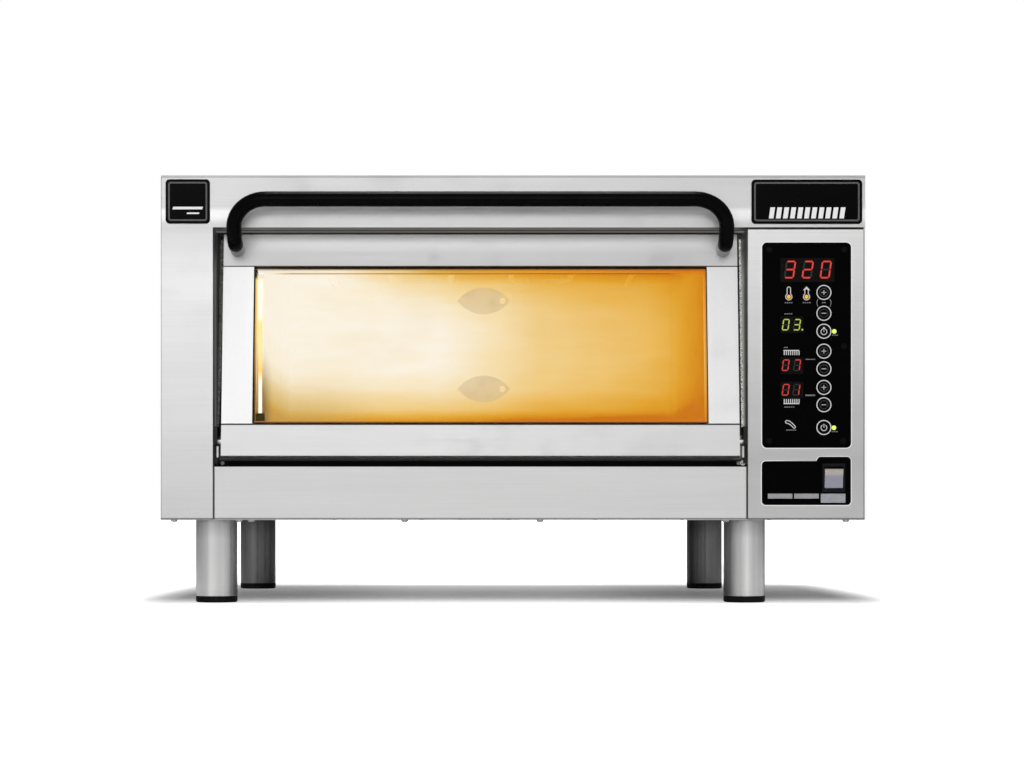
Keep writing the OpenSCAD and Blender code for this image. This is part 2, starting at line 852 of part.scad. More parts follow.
front_panel();
column_panel();
sill_panel();
top_cover();
left_side_panel();
right_side_panel();
rear_panel();
base_plate();
bay_liner();
throat_plate();
door_gasket();
chamber_shell();
insulation_blanket();
insulation_slabs();
heat_shield();
hearth_stone();
stone_ledges();
heating_elements();
element_supports();
lamp_tube();
lamp_sockets();
wall_covers();
thermocouple();
hinge_brackets();
leg_tubes();
leg_bolts();
leg_feet();
casing_screws();
series_badge();
name_badge();
control_overlay();
temperature_display();
zone_displays();
status_lamps();
control_board();
key_temp_up();
key_temp_down();
key_timer();
key_top_up();
key_top_down();
key_bottom_up();
key_bottom_down();
key_power();
switch_plate();
switch_housing();
main_rocker();
contactors();
transformer();
terminal_block();
cable_gland();
door_top_rail();
door_bottom_rail();
door_stiles();
door_inner_frame();
outer_glass();
inner_glass();
hinge_pins();
handle();
handle_spacers();
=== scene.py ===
import math

import bmesh
import bpy
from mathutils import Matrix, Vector


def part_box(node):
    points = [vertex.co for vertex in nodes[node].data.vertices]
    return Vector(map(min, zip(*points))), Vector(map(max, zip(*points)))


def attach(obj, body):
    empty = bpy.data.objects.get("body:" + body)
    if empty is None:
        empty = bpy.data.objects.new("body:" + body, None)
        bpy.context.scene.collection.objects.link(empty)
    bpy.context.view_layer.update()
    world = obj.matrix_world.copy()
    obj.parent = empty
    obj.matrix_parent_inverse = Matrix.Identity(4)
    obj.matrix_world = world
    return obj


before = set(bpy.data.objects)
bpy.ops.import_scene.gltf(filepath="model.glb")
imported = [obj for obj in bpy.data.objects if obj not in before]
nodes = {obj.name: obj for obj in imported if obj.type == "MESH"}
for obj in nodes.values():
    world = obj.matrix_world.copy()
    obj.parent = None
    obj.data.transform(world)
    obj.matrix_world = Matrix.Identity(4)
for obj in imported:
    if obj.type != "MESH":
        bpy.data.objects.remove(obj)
bpy.context.view_layer.update()

MM = 0.001
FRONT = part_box("column_panel")[0].y          # plane of the casing's front
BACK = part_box("chamber_shell")[1].y          # back of the chamber
BAY_X = (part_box("hinge_brackets")[0].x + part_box("hinge_brackets")[1].x) / 2
PIN_LOW, PIN_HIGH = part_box("hinge_pins")
AXIS_Y = (PIN_LOW.y + PIN_HIGH.y) / 2        # door hinge line
AXIS_Z = (PIN_LOW.z + PIN_HIGH.z) / 2
LEAN = math.radians(7.5)                     # the shut door leans back by this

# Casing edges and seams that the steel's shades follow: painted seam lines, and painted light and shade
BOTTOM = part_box("sill_panel")[0].z
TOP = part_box("front_panel")[1].z
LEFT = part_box("front_panel")[0].x
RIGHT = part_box("column_panel")[1].x
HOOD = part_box("column_panel")[1].z
SILL_ENDS = [corner.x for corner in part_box("sill_panel")]
RAIL_LOW, RAIL_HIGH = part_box("door_top_rail")
LOW_RAIL_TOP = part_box("door_bottom_rail")[1].z
LEGS_LEFT, LEGS_RIGHT = [corner.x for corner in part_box("leg_tubes")]


# ---------------- node materials

def add_node(tree, kind, links, **props):
    """A new node. Each link is a socket to join to an input, or a plain value for it."""
    n = tree.nodes.new(kind)
    for key, value in props.items():
        setattr(n, key, value)
    for key, value in links.items():
        if isinstance(value, bpy.types.NodeSocket):
            tree.links.new(value, n.inputs[key])
        else:
            n.inputs[key].default_value = value
    return n


class Paint:
    """One procedural material. Its methods add nodes and give back an output socket. Plain values
    for the shader's sockets are named with an underscore for each space."""

    def __init__(self, name, **plain):
        self.m = bpy.data.materials.new(name)
        self.m.use_nodes = True
        self.nt = self.m.node_tree
        self.p = self.nt.nodes["Principled BSDF"]
        for key, value in plain.items():
            self.p.inputs[key.replace("_", " ")].default_value = value
        self.at = self.node("ShaderNodeTexCoord").outputs["Object"]

    def node(self, kind, links=None, **props):
        return add_node(self.nt, kind, links or {}, **props)

    def math(self, op, a, b=0.0, clamp=False):
        return self.node("ShaderNodeMath", {0: a, 1: b}, operation=op, use_clamp=clamp).outputs[0]

    def part(self, axis):
        """One coordinate of the surface, in metres."""
        return self.node("ShaderNodeSeparateXYZ", {0: self.at}).outputs[axis]

    def stretched(self, scale):
        """The surface's coordinates, scaled along each axis."""
        n = self.node("ShaderNodeVectorMath", {0: self.at, 1: scale}, operation="MULTIPLY")
        return n.outputs[0]

    def noise(self, scale, detail=3.0, rough=0.55):
        """Noise from 0 to 1; scale is a number, or three for a stretched grain."""
        vector = self.at
        if not isinstance(scale, (int, float)):
            vector, scale = self.stretched(scale), 1.0
        n = self.node("ShaderNodeTexNoise",
                      {"Vector": vector, "Scale": scale, "Detail": detail, "Roughness": rough})
        return n.outputs["Fac"]

    def span(self, value, a, b, to_a=0.0, to_b=1.0, smooth=False):
        """A value that runs from to_a at a to to_b at b, and stays level beyond them."""
        n = self.node("ShaderNodeMapRange",
                      {0: value, 1: a, 2: b, 3: to_a, 4: to_b},
                      interpolation_type="SMOOTHSTEP" if smooth else "LINEAR")
        return n.outputs[0]

    def ramp(self, fac, stops):
        """A colour by fac. Each stop is (place, colour), and the colour may be one number for a grey."""
        n = self.node("ShaderNodeValToRGB", {0: fac})
        e = n.color_ramp.elements
        while len(e) < len(stops):
            e.new(0.5)
        for k, (pos, colour) in enumerate(stops):
            e[k].position = pos
            e[k].color = (*colour, 1.0) if hasattr(colour, "__len__") else (colour,) * 3 + (1.0,)
        return n.outputs[0]

    def grey(self, value):
        """A number from 0 to 1 as a colour."""
        return self.ramp(value, [(0.0, 0.0), (1.0, 1.0)])

    def mix(self, fac, a, b, blend="MIX"):
        n = self.nt.nodes.new("ShaderNodeMix")
        n.data_type = "RGBA"
        n.blend_type = blend
        for index, value in ((0, fac), (6, a), (7, b)):
            if isinstance(value, bpy.types.NodeSocket):
                self.nt.links.new(value, n.inputs[index])
            elif index == 0:
                n.inputs[index].default_value = value
            else:
                n.inputs[index].default_value = (*value, 1.0)
        return n.outputs[2]

    def to(self, name, out):
        self.nt.links.new(out, self.p.inputs[name])
        return self

    def bump(self, height, strength, distance):
        n = self.node("ShaderNodeBump",
                      {"Height": height, "Strength": strength, "Distance": distance})
        self.nt.links.new(n.outputs[0], self.p.inputs["Normal"])
        return self


def srgb(*c):
    """Linear colour from 0-255 screen values."""
    out = []
    for v in c:
        v = v / 255
        out.append(v / 12.92 if v <= 0.04045 else ((v + 0.055) / 1.055) ** 2.4)
    return tuple(out)


GRAIN = {"x": (9, 1300, 1300), "y": (1300, 9, 1300), "z": (1300, 1300, 9)}
FINE = {"x": (40, 3600, 3600), "y": (3600, 40, 3600), "z": (3600, 3600, 40)}
STREAK = {"x": (2.5, 40, 40), "y": (40, 2.5, 40), "z": (40, 40, 2.5)}


def brushed(name, tone, grain="x", rough=0.42, metal=0.82, spread=0.04, depth=0.12, shade=()):
    """Brushed stainless sheet: grain lines along one axis, soft clouds from handling, and a few
    finger smudges in the gloss. Each shade scales its colour along an axis: (axis, from, to, stops), as a
    painted seam line or as painted light and shade."""
    q = Paint(name, Metallic=metal)
    lines = q.noise(GRAIN[grain], detail=4, rough=0.7)
    fine = q.noise(FINE[grain], detail=2)
    clouds = q.noise(STREAK[grain], detail=4)
    smudge = q.span(q.noise(23.0, detail=4, rough=0.6), 0.52, 0.72, smooth=True)
    mottle = q.math("ADD", q.math("MULTIPLY", lines, 0.6), q.math("MULTIPLY", clouds, 0.4))
    colour = q.ramp(mottle, [(0.36, tone * (1 - spread)), (0.64, min(1.0, tone * (1 + spread)))])
    # painted seam lines, and painted light and shade, multiplied into the colour
    for axis, a, b, stops in shade:
        colour = q.mix(1.0, colour, q.ramp(q.span(q.part(axis), a, b), stops), "MULTIPLY")
    q.to("Base Color", colour)
    gloss = q.span(lines, 0.3, 0.7, rough - 0.05, rough + 0.05)
    gloss = q.math("ADD", gloss, q.math("MULTIPLY", smudge, 0.05))
    q.to("Roughness", gloss)
    height = q.math("ADD", q.math("MULTIPLY", lines, 0.7), q.math("MULTIPLY", fine, 0.3))
    return q.bump(height, depth, 0.0002).m


def dull(name, dark, light, scale=60.0, rough=(0.4, 0.6), depth=0.15, distance=0.0003, **plain):
    """A moulded, cast or coated surface: mottled colour, broken gloss and a fine grain in relief."""
    q = Paint(name, **plain)
    broad = q.noise(scale, detail=5, rough=0.6)
    fine = q.noise(scale * 14, detail=3)
    q.to("Base Color", q.ramp(broad, [(0.32, dark), (0.68, light)]))
    q.to("Roughness", q.span(broad, 0.3, 0.7, rough[1], rough[0]))
    return q.bump(q.math("ADD", q.math("MULTIPLY", broad, 0.4), fine), depth, distance).m


def gloss_black(name, base=0.0012, rough=0.2, coat=0.3, line=None, depth=0.03, specular=0.03):
    """Lacquered or printed black sheet with faint dust and wiping marks. A raised line in front of
    the plane y = line is printed grey."""
    q = Paint(name, Coat_Weight=coat, Coat_Roughness=0.12, Coat_IOR=1.12, Specular_IOR_Level=specular)
    wipe = q.noise((30, 30, 90), detail=4)
    dust = q.span(q.noise(900.0, detail=1), 0.72, 0.8)
    colour = q.ramp(wipe, [(0.35, (base, base, base * 1.1)),
                           (0.7, (base * 1.8, base * 1.8, base * 2.0))])
    colour = q.mix(q.math("MULTIPLY", dust, 0.05), colour, (0.25, 0.25, 0.25))
    if line is not None:
        front = q.span(q.part(1), line + 0.00005, line - 0.00005)
        colour = q.mix(front, colour, srgb(112, 112, 114))
    q.to("Base Color", colour)
    q.to("Roughness", q.span(wipe, 0.3, 0.7, rough, rough + 0.14))
    return q.bump(q.noise(260.0, detail=3), depth, 0.0004).m


def lit(name, colour, strength=1.0, base=(0.02, 0.02, 0.02), spots=0.12):
    """A lit segment or lamp that glows, a little uneven as behind a diffuser; on prints and trim the glow is
    painted light.
    """
    q = Paint(name, Roughness=0.35, Emission_Strength=strength)
    q.to("Base Color", q.ramp(q.noise(500.0), [(0.3, base), (0.7, tuple(b * 1.3 for b in base))]))
    low = tuple(c * (1 - spots) for c in colour)
    q.to("Emission Color", q.ramp(q.noise(700.0, detail=2), [(0.35, low), (0.65, colour)]))
    return q.bump(q.noise(900.0), 0.05, 0.0001).m


def printed(name, colour, spread=0.08):
    """Screen-printed ink."""
    dark = tuple(c * (1 - spread) for c in colour)
    light = tuple(min(1.0, c * (1 + spread)) for c in colour)
    return dull(name, dark, light, scale=240.0, rough=(0.35, 0.5), depth=0.06, distance=0.0001)


# The chamber's painted lamp light: bright cream by the lamp on the left, deep amber on the right and along
# the edges
WARM = [(0.0, srgb(251, 244, 231)), (0.1, srgb(248, 235, 207)), (0.2, srgb(246, 223, 176)),
        (0.4, srgb(240, 207, 139)), (0.6, srgb(235, 187, 93)), (0.8, srgb(225, 163, 46)),
        (0.92, srgb(217, 144, 26)), (1.0, srgb(203, 116, 20))]
LAMP_SIDE, FAR_SIDE = -0.2633, 0.2400        # where the colours across the back wall start and end
GLOW_LOW, GLOW_HIGH = 0.19, 0.374            # where those up the wall do
ROOF_RAMP = (0.31, 0.38)                     # height over which the wall deepens again to the roof
CHAMBER_DEPTH = 0.453


def warmth(q):
    """How far a place in the chamber is from the lamp's light, 0 to 1: it deepens across the back
    wall, then along the right wall and the roof towards the door, and down to the stone."""
    x, z = q.part(0), q.part(2)
    forward = q.math("SUBTRACT", BACK, q.part(1))
    along = q.ramp(q.span(x, LAMP_SIDE, FAR_SIDE),
                   [(0.0, 0.02), (0.12, 0.04), (0.357, 0.02), (0.503, 0.2), (0.599, 0.4), (0.74, 0.5),
                    (0.85, 0.58), (0.90, 0.68), (0.9166, 0.73)])
    right_wall = q.math("MULTIPLY", q.span(x, 0.185, 0.195), q.span(forward, 0.0, CHAMBER_DEPTH, 0.0, 0.25))
    along = q.math("ADD", along, right_wall, clamp=True)
    height = q.ramp(q.span(z, GLOW_LOW, GLOW_HIGH),
                    [(0.0, 0.92), (0.06, 0.87), (0.09, 0.70), (0.13, 0.44), (0.165, 0.35),
                     (0.26, 0.12), (0.38, 0.03), (0.55, 0.0)])
    top = q.ramp(q.span(z, *ROOF_RAMP),
                 [(0.0, 0.0), (0.37, 0.08), (0.59, 0.17), (0.78, 0.31), (0.91, 0.58), (1.0, 0.74)])
    roof = q.math("MULTIPLY", q.span(z, 0.35, 0.36), q.span(forward, 0.0, 0.1, 0.0, 0.22))
    top = q.math("ADD", top, roof)
    away = q.span(x, -0.23, -0.045, 0.0, 1.0, smooth=True)
    right = q.span(x, -0.082, 0.18, 1.0, 1.38)
    edge = q.math("MAXIMUM", height, q.math("MULTIPLY", top, away))
    edge = q.math("MULTIPLY", edge, right, clamp=True)
    mottle = q.math("SUBTRACT", q.noise((14, 60, 60), detail=4, rough=0.6), 0.5)
    rest = q.math("MULTIPLY", q.math("SUBTRACT", 1.0, along), q.math("SUBTRACT", 1.0, edge))
    t = q.math("SUBTRACT", 1.0, rest)
    return q.math("ADD", t, q.math("MULTIPLY", mottle, 0.16), clamp=True)


def chamber_paint(name, wall_tint=None):
    """Chamber steel that glows with the lamp's painted light in warm colours, with painted shade low
    down in its corners. The rear wall covers take a tint of their own and a light mottling."""
    q = Paint(name, Roughness=0.9, Specular_IOR_Level=0.0, Emission_Strength=1.0)
    x, y, z = q.part(0), q.part(1), q.part(2)
    colour = q.ramp(warmth(q), WARM)
    # Painted shade: darker low down on the lamp's side, and in the lower front corner of the left wall
    dim = q.math("MULTIPLY", q.span(z, 0.26, 0.192, 0.0, 0.6, smooth=True),
                 q.span(x, -0.13, -0.26, smooth=True))
    colour = q.mix(dim, colour, srgb(188, 160, 96))
    corner = q.math("MULTIPLY", q.span(z, 0.275, 0.195, smooth=True),
                    q.span(y, 0.0, -0.17, 0.0, 0.9, smooth=True))
    corner = q.math("MULTIPLY", corner, q.span(x, -0.259, -0.262))
    colour = q.mix(corner, colour, srgb(96, 80, 46))
    if wall_tint:
        colour = q.mix(0.5, colour, wall_tint)
        bright = q.span(q.noise(70.0, detail=4), 0.35, 0.65, 0.93, 1.05)
        colour = q.mix(1.0, colour, q.grey(bright), "MULTIPLY")
    q.to("Emission Color", colour)
    q.to("Base Color", q.ramp(q.noise((60, 700, 700)), [(0.3, (0.016, 0.012, 0.008)),
                                                        (0.7, (0.026, 0.020, 0.013))]))
    return q.bump(q.noise((60, 900, 900), detail=4), 0.1, 0.0002).m


def line_at(axis, at, half, share):
    """A dark line across a sheet, where it meets its neighbour."""
    return (axis, at - 2 * half, at + 2 * half, [(0.0, 1.0), (0.25, share), (0.75, share), (1.0, 1.0)])


def turned_rim(name):
    """Turned spacers: bright-cut metal with fine rings, painted dark as a painted reflection of dark
    surroundings.
    """
    q = Paint(name, Metallic=1.0)
    rings = q.noise((500, 2600, 500), detail=2)
    q.to("Base Color", q.ramp(rings, [(0.35, (0.22, 0.22, 0.22)), (0.65, (0.32, 0.32, 0.31))]))
    q.to("Roughness", q.span(rings, 0.3, 0.7, 0.3, 0.22))
    return q.bump(rings, 0.1, 0.0001).m


# Painted shade: the folded returns just behind the casing's front plane are darkened
BACK_OF_FOLD = (1, FRONT + 0.0018, FRONT + 0.005, [(0.0, 1.0), (1.0, 0.32)])
FLOOR_LINE = line_at(2, BOTTOM, 0.0007, 0.35)

# All the brushed parts below are one stainless steel: the tone that differs from part to part is painted
# light and shade
PAINTS = {
    "steel_band": brushed("steel_band", 0.92, shade=(
        BACK_OF_FOLD, FLOOR_LINE, line_at(0, LEFT, 0.0005, 0.5), line_at(2, TOP, 0.0005, 0.6),
        # Painted light and shade up the front: darker towards the bottom, lighter just under the handle where
        # its shadow falls on the hood, and darker bands below and above that
        (2, BOTTOM, TOP, [(0.0, 0.80), (0.3, 0.93), (0.7, 1.0), (0.825, 0.84), (0.85, 0.76),
                          (0.864, 0.80), (0.876, 0.98), (0.886, 1.08), (0.90, 1.08), (0.912, 0.80),
                          (1.0, 0.77)]))),
    "steel_column": brushed("steel_column", 0.88, shade=(
        BACK_OF_FOLD, FLOOR_LINE, line_at(0, RIGHT, 0.0005, 0.5),
        # Painted shade: darker towards the bottom
        (2, BOTTOM, HOOD, [(0.0, 0.72), (0.2, 0.68), (0.6, 0.85), (1.0, 1.0)]))),
    "steel_sill": brushed("steel_sill", 0.78, shade=(
        FLOOR_LINE, *(line_at(0, end, 0.0008, 0.12) for end in SILL_ENDS))),
    "steel_top": brushed("steel_top", 0.60, metal=0.45),
    "steel_side": brushed("steel_side", 0.72, "y"),
    "steel_rear": brushed("steel_rear", 0.70),
    "steel_rail": brushed("steel_rail", 0.98, shade=(
        line_at(2, RAIL_LOW.z + 0.0023, 0.0004, 0.05),
        # Painted light: lighter towards the top and at the ends, against the shadow of the hood and the
        # handle
        (0, RAIL_LOW.x, RAIL_HIGH.x, [(0.0, 0.94), (0.04, 0.86), (0.10, 0.8), (0.9, 0.82),
                                      (0.955, 0.92), (1.0, 1.0)]),
        (2, RAIL_LOW.z, RAIL_HIGH.z, [(0.0, 0.70), (0.45, 0.78), (1.0, 1.2)]))),
    "steel_low_rail": brushed("steel_low_rail", 0.70, shade=(
        line_at(2, LOW_RAIL_TOP - 0.0003, 0.0006, 0.05),)),
    "steel_stile": brushed("steel_stile", 0.88, "z", shade=(
        # Painted shade: slightly darker on the right
        (0, BAY_X - 0.01, BAY_X + 0.01, [(0.0, 0.98), (1.0, 0.96)]),)),
    "steel_leg": brushed("steel_leg", 0.99, "z", rough=0.2, metal=1.0, spread=0.05, shade=(
        # Painted light and shade: the rear legs darker, stripes of painted reflection across each leg, and
        # darker towards the top under the body
        (1, -0.2, 0.1, [(0.0, 1.0), (0.5, 0.6), (1.0, 0.21)]),
        (0, LEGS_LEFT, LEGS_RIGHT, [
            (0.0, 0.6), (0.0057, 0.9), (0.017, 0.74), (0.0226, 0.74), (0.0283, 1.0), (0.033, 1.0),
            (0.0396, 0.85), (0.0453, 0.77), (0.051, 0.85), (0.0566, 0.78), (0.0623, 0.74), (0.068, 0.49),
            (0.072, 0.25), (0.927, 0.20), (0.932, 0.22), (0.9374, 0.34), (0.943, 0.47), (0.9485, 0.63),
            (0.954, 0.62), (0.9595, 0.80), (0.965, 1.0), (0.9706, 0.88), (0.976, 0.76), (0.9816, 0.85),
            (0.987, 0.91), (0.9926, 1.0), (0.998, 0.45)]),
        (2, BOTTOM - 0.02, BOTTOM, [(0.0, 1.0), (1.0, 0.62)]))),
    "galvanised": brushed("galvanised", 0.55, "y", rough=0.45, spread=0.2),
}


WINDOW_SIDES = (-0.266, 0.202)               # the frame's cut edge round the window lies between
WINDOW_ENDS = (0.182, 0.346)                 # these, across and up
EDGE_HEIGHT = (0.18, 0.335)                  # heights over which the two upright edges change colour


def frame_paint(name):
    """Dark steel of the door's inner frame. The cut edge round its window glows with the chamber's painted
    light, with painted shade low down and at the top by the lamp.
    """
    q = Paint(name, Metallic=0.95)
    lines = q.noise(GRAIN["x"], detail=4, rough=0.7)
    q.to("Roughness", q.span(lines, 0.3, 0.7, 0.35, 0.45))
    across = q.ramp(q.span(q.part(0), -0.26, 0.192),
                    [(0.0, srgb(236, 226, 214)), (0.19, srgb(244, 233, 205)), (0.26, srgb(240, 212, 158)),
                     (0.33, srgb(230, 196, 130)), (0.39, srgb(217, 168, 74)), (0.46, srgb(212, 157, 53)),
                     (0.6, srgb(222, 150, 33)), (0.92, srgb(210, 124, 26)), (1.0, srgb(207, 116, 20))])
    up = q.span(q.part(2), *EDGE_HEIGHT)
    far_edge = q.ramp(up, [(0.0, srgb(197, 112, 19)), (0.35, srgb(221, 144, 22)),
                           (0.7, srgb(218, 136, 22)), (1.0, srgb(204, 116, 20))])
    lamp_edge = q.ramp(up, [(0.0, srgb(48, 30, 8)), (0.25, srgb(110, 70, 18)), (0.6, srgb(226, 170, 70)),
                            (0.94, srgb(236, 196, 110)), (0.96, srgb(30, 16, 8)), (1.0, srgb(30, 16, 8))])
    # The cut edge's painted light: amber on the far side, shaded low down and at the top by the lamp
    light = q.mix(q.span(q.part(0), 0.188, 0.193), across, far_edge)
    light = q.mix(q.span(q.part(0), -0.2572, -0.2580), light, lamp_edge)
    facing = q.node("ShaderNodeSeparateXYZ", {0: q.node("ShaderNodeTexCoord").outputs["Normal"]}).outputs[1]
    glowing = q.math("LESS_THAN", facing, 0.5)
    for axis, (low, high) in ((0, WINDOW_SIDES), (2, WINDOW_ENDS)):
        glowing = q.math("MULTIPLY", glowing, q.math("GREATER_THAN", q.part(axis), low))
        glowing = q.math("MULTIPLY", glowing, q.math("LESS_THAN", q.part(axis), high))
    steel = q.ramp(lines, [(0.36, (0.19, 0.18, 0.17)), (0.64, (0.25, 0.24, 0.225))])
    q.to("Base Color", q.mix(glowing, steel, (0.012, 0.008, 0.004)))
    q.to("Emission Color", light)
    q.to("Emission Strength", q.math("MULTIPLY", glowing, 0.98))
    return q.bump(lines, 0.12, 0.0002).m


def bay_paint(name):
    """Brushed liner of the door bay: darker and mottled towards its floor, with bands of painted shade across
    its walls and roof at set depths behind the front. It is given a little painted light in its own grey."""
    # A little painted light: the liner glows faintly in its own colour
    q = Paint(name, Metallic=0.95, Emission_Strength=0.28)
    lines = q.noise(GRAIN["z"], detail=4, rough=0.7)
    steel = q.ramp(lines, [(0.36, (0.30, 0.30, 0.30)), (0.64, (0.44, 0.44, 0.43))])
    dark_low = q.math("ADD", q.span(q.part(2), 0.150, 0.141, smooth=True),
                  q.math("MULTIPLY", q.noise(60.0, detail=5), 0.1), clamp=True)
    # Painted shade in the bay: dark bands across the walls and roof at set depths, darker near the top, and
    # darker towards the front of the right wall
    depth = q.span(q.part(1), FRONT, FRONT + 0.05)
    deep = q.span(depth, 0.62, 0.68)
    on_right = q.span(q.part(0), BAY_X + 0.255, BAY_X + 0.260)
    right = q.math("MULTIPLY", q.math("MULTIPLY", on_right, 0.75), q.math("SUBTRACT", 1.0, deep))
    walls = q.ramp(depth, [(0.0, 1.0), (0.05, 0.9), (0.08, 0.0), (0.5, 0.05), (0.7, 0.7), (0.9, 0.95),
                           (1.0, 0.97)])
    walls = q.math("MULTIPLY", walls, q.math("SUBTRACT", 1.0, q.math("MULTIPLY", on_right, deep)))
    roof = q.ramp(depth, [(0.0, 1.0), (0.05, 0.9), (0.06, 0.0), (0.42, 0.0), (0.46, 0.97), (0.58, 0.97),
                          (0.62, 0.0), (0.92, 0.0), (0.96, 0.97), (1.0, 0.97)])
    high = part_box("bay_liner")[1].z
    walls = q.math("MAXIMUM", walls, q.span(q.part(2), high - 0.045, high - 0.02, 0.0, 0.8))
    painted_band_shade = q.mix(q.math("GREATER_THAN", q.part(2), high - 0.002), q.grey(walls), roof)
    dark = q.math("MAXIMUM", q.math("MAXIMUM", dark_low, right), painted_band_shade)
    colour = q.mix(dark, steel, (0.004, 0.004, 0.004))
    q.to("Base Color", colour)
    q.to("Emission Color", colour)
    q.to("Roughness", q.span(lines, 0.3, 0.7, 0.32, 0.44))
    return q.bump(lines, 0.12, 0.0002).m


def turned(name, tone, rough=0.25):
    """Zinc-plated or turned small parts: fine rings, passivation tint and pits."""
    q = Paint(name, Metallic=1.0)
    rings = q.noise((2600, 500, 2600), detail=2)
    stain = q.noise(140.0, detail=4)
    q.to("Base Color", q.ramp(stain, [(0.35, (tone * 0.8, tone * 0.79, tone * 0.76)),
                                      (0.65, (tone, tone, tone * 0.98))]))
    q.to("Roughness", q.span(stain, 0.3, 0.7, rough + 0.12, rough))
    return q.bump(rings, 0.12, 0.0001).m


def woven(name):
    """Braided glass-fibre rope: two crossing strands and loose fibres, with painted shade along its outer
    left edge and a painted glow of the chamber's light, brightest at its right end."""
    q = Paint(name, Roughness=0.9, Emission_Strength=1.0)
    strands = []
    for way in (260, -260):
        wave = {"Vector": q.stretched((way, 260, 260)), "Scale": 1.0, "Distortion": 2.0}
        strands.append(q.node("ShaderNodeTexWave", wave, bands_direction="DIAGONAL").outputs["Fac"])
    cross = q.math("MAXIMUM", *strands)
    speck = q.noise(900.0, detail=2)
    fac = q.math("ADD", q.math("MULTIPLY", cross, 0.2), q.math("MULTIPLY", speck, 0.8))
    strand = q.ramp(fac, [(0.42, srgb(40, 39, 38)), (0.52, srgb(140, 138, 134)), (0.64, srgb(216, 215, 210))])
    # Painted shade along the outer left edge
    lean_in = q.math("ADD", q.part(0), q.math("MULTIPLY", q.math("SUBTRACT", 0.36, q.part(2)), 0.0225))
    dark = q.span(lean_in, -0.2925, -0.2921)
    # Painted light: a glow of the chamber's light, brightest at the right end
    glow = q.ramp(q.span(q.part(0), BAY_X - 0.26, BAY_X + 0.26),
                  [(0.0, 0.05), (0.5, 0.12), (0.98, 0.25), (0.99, 0.9)])
    back = q.math("LESS_THAN", q.part(0), 0.2308)
    keep = q.math("SUBTRACT", 1.0, q.math("MULTIPLY", q.math("MULTIPLY", dark, back), 0.97))
    strand = q.mix(1.0, strand, q.grey(keep), "MULTIPLY")
    q.to("Base Color", strand)
    q.to("Emission Color", q.mix(1.0, glow, strand, "MULTIPLY"))
    return q.bump(fac, 0.6, 0.0008).m


def wool(name):
    """Mineral wool: matted fibres in loose tufts."""
    q = Paint(name, Roughness=0.95)
    fibre = q.noise((90, 700, 700), detail=6, rough=0.75)
    tuft = q.noise(45.0, detail=4)
    q.to("Base Color", q.mix(fibre, srgb(196, 178, 128), srgb(232, 222, 188)))
    return q.bump(q.math("ADD", fibre, q.math("MULTIPLY", tuft, 1.5)), 0.7, 0.002).m


def stone(name):
    """Cordierite slab: pale ground, dark grog, fine pores, and browning towards the back."""
    q = Paint(name, Roughness=0.88)
    ground = q.noise(26.0, detail=6, rough=0.65)
    cells = q.node("ShaderNodeTexVoronoi", {"Vector": q.at, "Scale": 420.0}).outputs["Distance"]
    grog = q.span(cells, 0.12, 0.22)
    pores = q.noise(1500.0, detail=3)
    colour = q.ramp(ground, [(0.35, srgb(176, 156, 124)), (0.65, srgb(214, 198, 168))])
    colour = q.mix(q.math("SUBTRACT", 1.0, grog), colour, srgb(116, 96, 74))
    baked = q.math("MULTIPLY", q.span(q.part(1), -0.1, 0.22, smooth=True), q.noise(11.0, detail=4))
    q.to("Base Color", q.mix(baked, colour, srgb(120, 82, 48)))
    return q.bump(q.math("ADD", pores, q.math("MULTIPLY", grog, 0.6)), 0.5, 0.0006).m


def heater(name):
    """Tubular element: oxidised skin. The upper runs glow with the roof's painted lamp light, the lower ones
    a dull red.
    """
    q = Paint(name, Specular_IOR_Level=0.05, Emission_Strength=0.97)
    scale = q.noise((300, 120, 300), detail=4)
    q.to("Base Color", q.ramp(scale, [(0.35, (0.02, 0.018, 0.016)), (0.65, (0.06, 0.05, 0.045))]))
    q.to("Roughness", q.span(scale, 0.3, 0.7, 0.75, 0.5))
    # The roof's painted lamp light on the upper runs
    roof = q.ramp(warmth(q), WARM)
    dull_red = q.ramp(q.noise(60.0), [(0.3, (0.20, 0.02, 0.004)), (0.7, (0.32, 0.05, 0.008))])
    q.to("Emission Color", q.mix(q.span(q.part(2), 0.25, 0.3), dull_red, roof))
    return q.bump(scale, 0.3, 0.0003).m


def board(name):
    """Solder mask with copper tracks under it."""
    q = Paint(name, Coat_Weight=0.3, Coat_Roughness=0.2)
    track = q.node("ShaderNodeTexBrick", {"Vector": q.stretched((400, 400, 400)), "Scale": 1.0,
                                          "Mortar Size": 0.06, "Color1": (0, 0, 0, 1), "Color2": (0, 0, 0, 1),
                                          "Mortar": (1, 1, 1, 1)}).outputs["Color"]
    q.to("Base Color", q.mix(track, srgb(18, 84, 48), srgb(48, 132, 74)))
    q.to("Roughness", q.span(q.noise(300.0), 0.3, 0.7, 0.3, 0.5))
    return q.bump(track, 0.2, 0.0001).m


def winding(name):
    """Transformer: a stack of thin sheets, with a copper winding across its middle."""
    q = Paint(name)
    low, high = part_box("transformer")
    mid = (low.z + high.z) / 2
    off = q.math("ABSOLUTE", q.math("SUBTRACT", q.part(2), mid))
    near = q.math("LESS_THAN", off, (high.z - low.z) * 0.28)
    sheets = q.noise((1500, 20, 20), detail=2)
    turns = q.noise((20, 20, 2400), detail=2)
    iron = q.ramp(sheets, [(0.35, (0.05, 0.05, 0.052)), (0.65, (0.16, 0.155, 0.15))])
    copper = q.ramp(turns, [(0.35, (0.30, 0.10, 0.04)), (0.65, (0.62, 0.26, 0.12))])
    q.to("Base Color", q.mix(near, iron, copper))
    q.to("Metallic", q.math("MULTIPLY", near, 0.8))
    q.to("Roughness", q.span(sheets, 0.3, 0.7, 0.35, 0.55))
    return q.bump(q.math("ADD", sheets, turns), 0.4, 0.0003).m


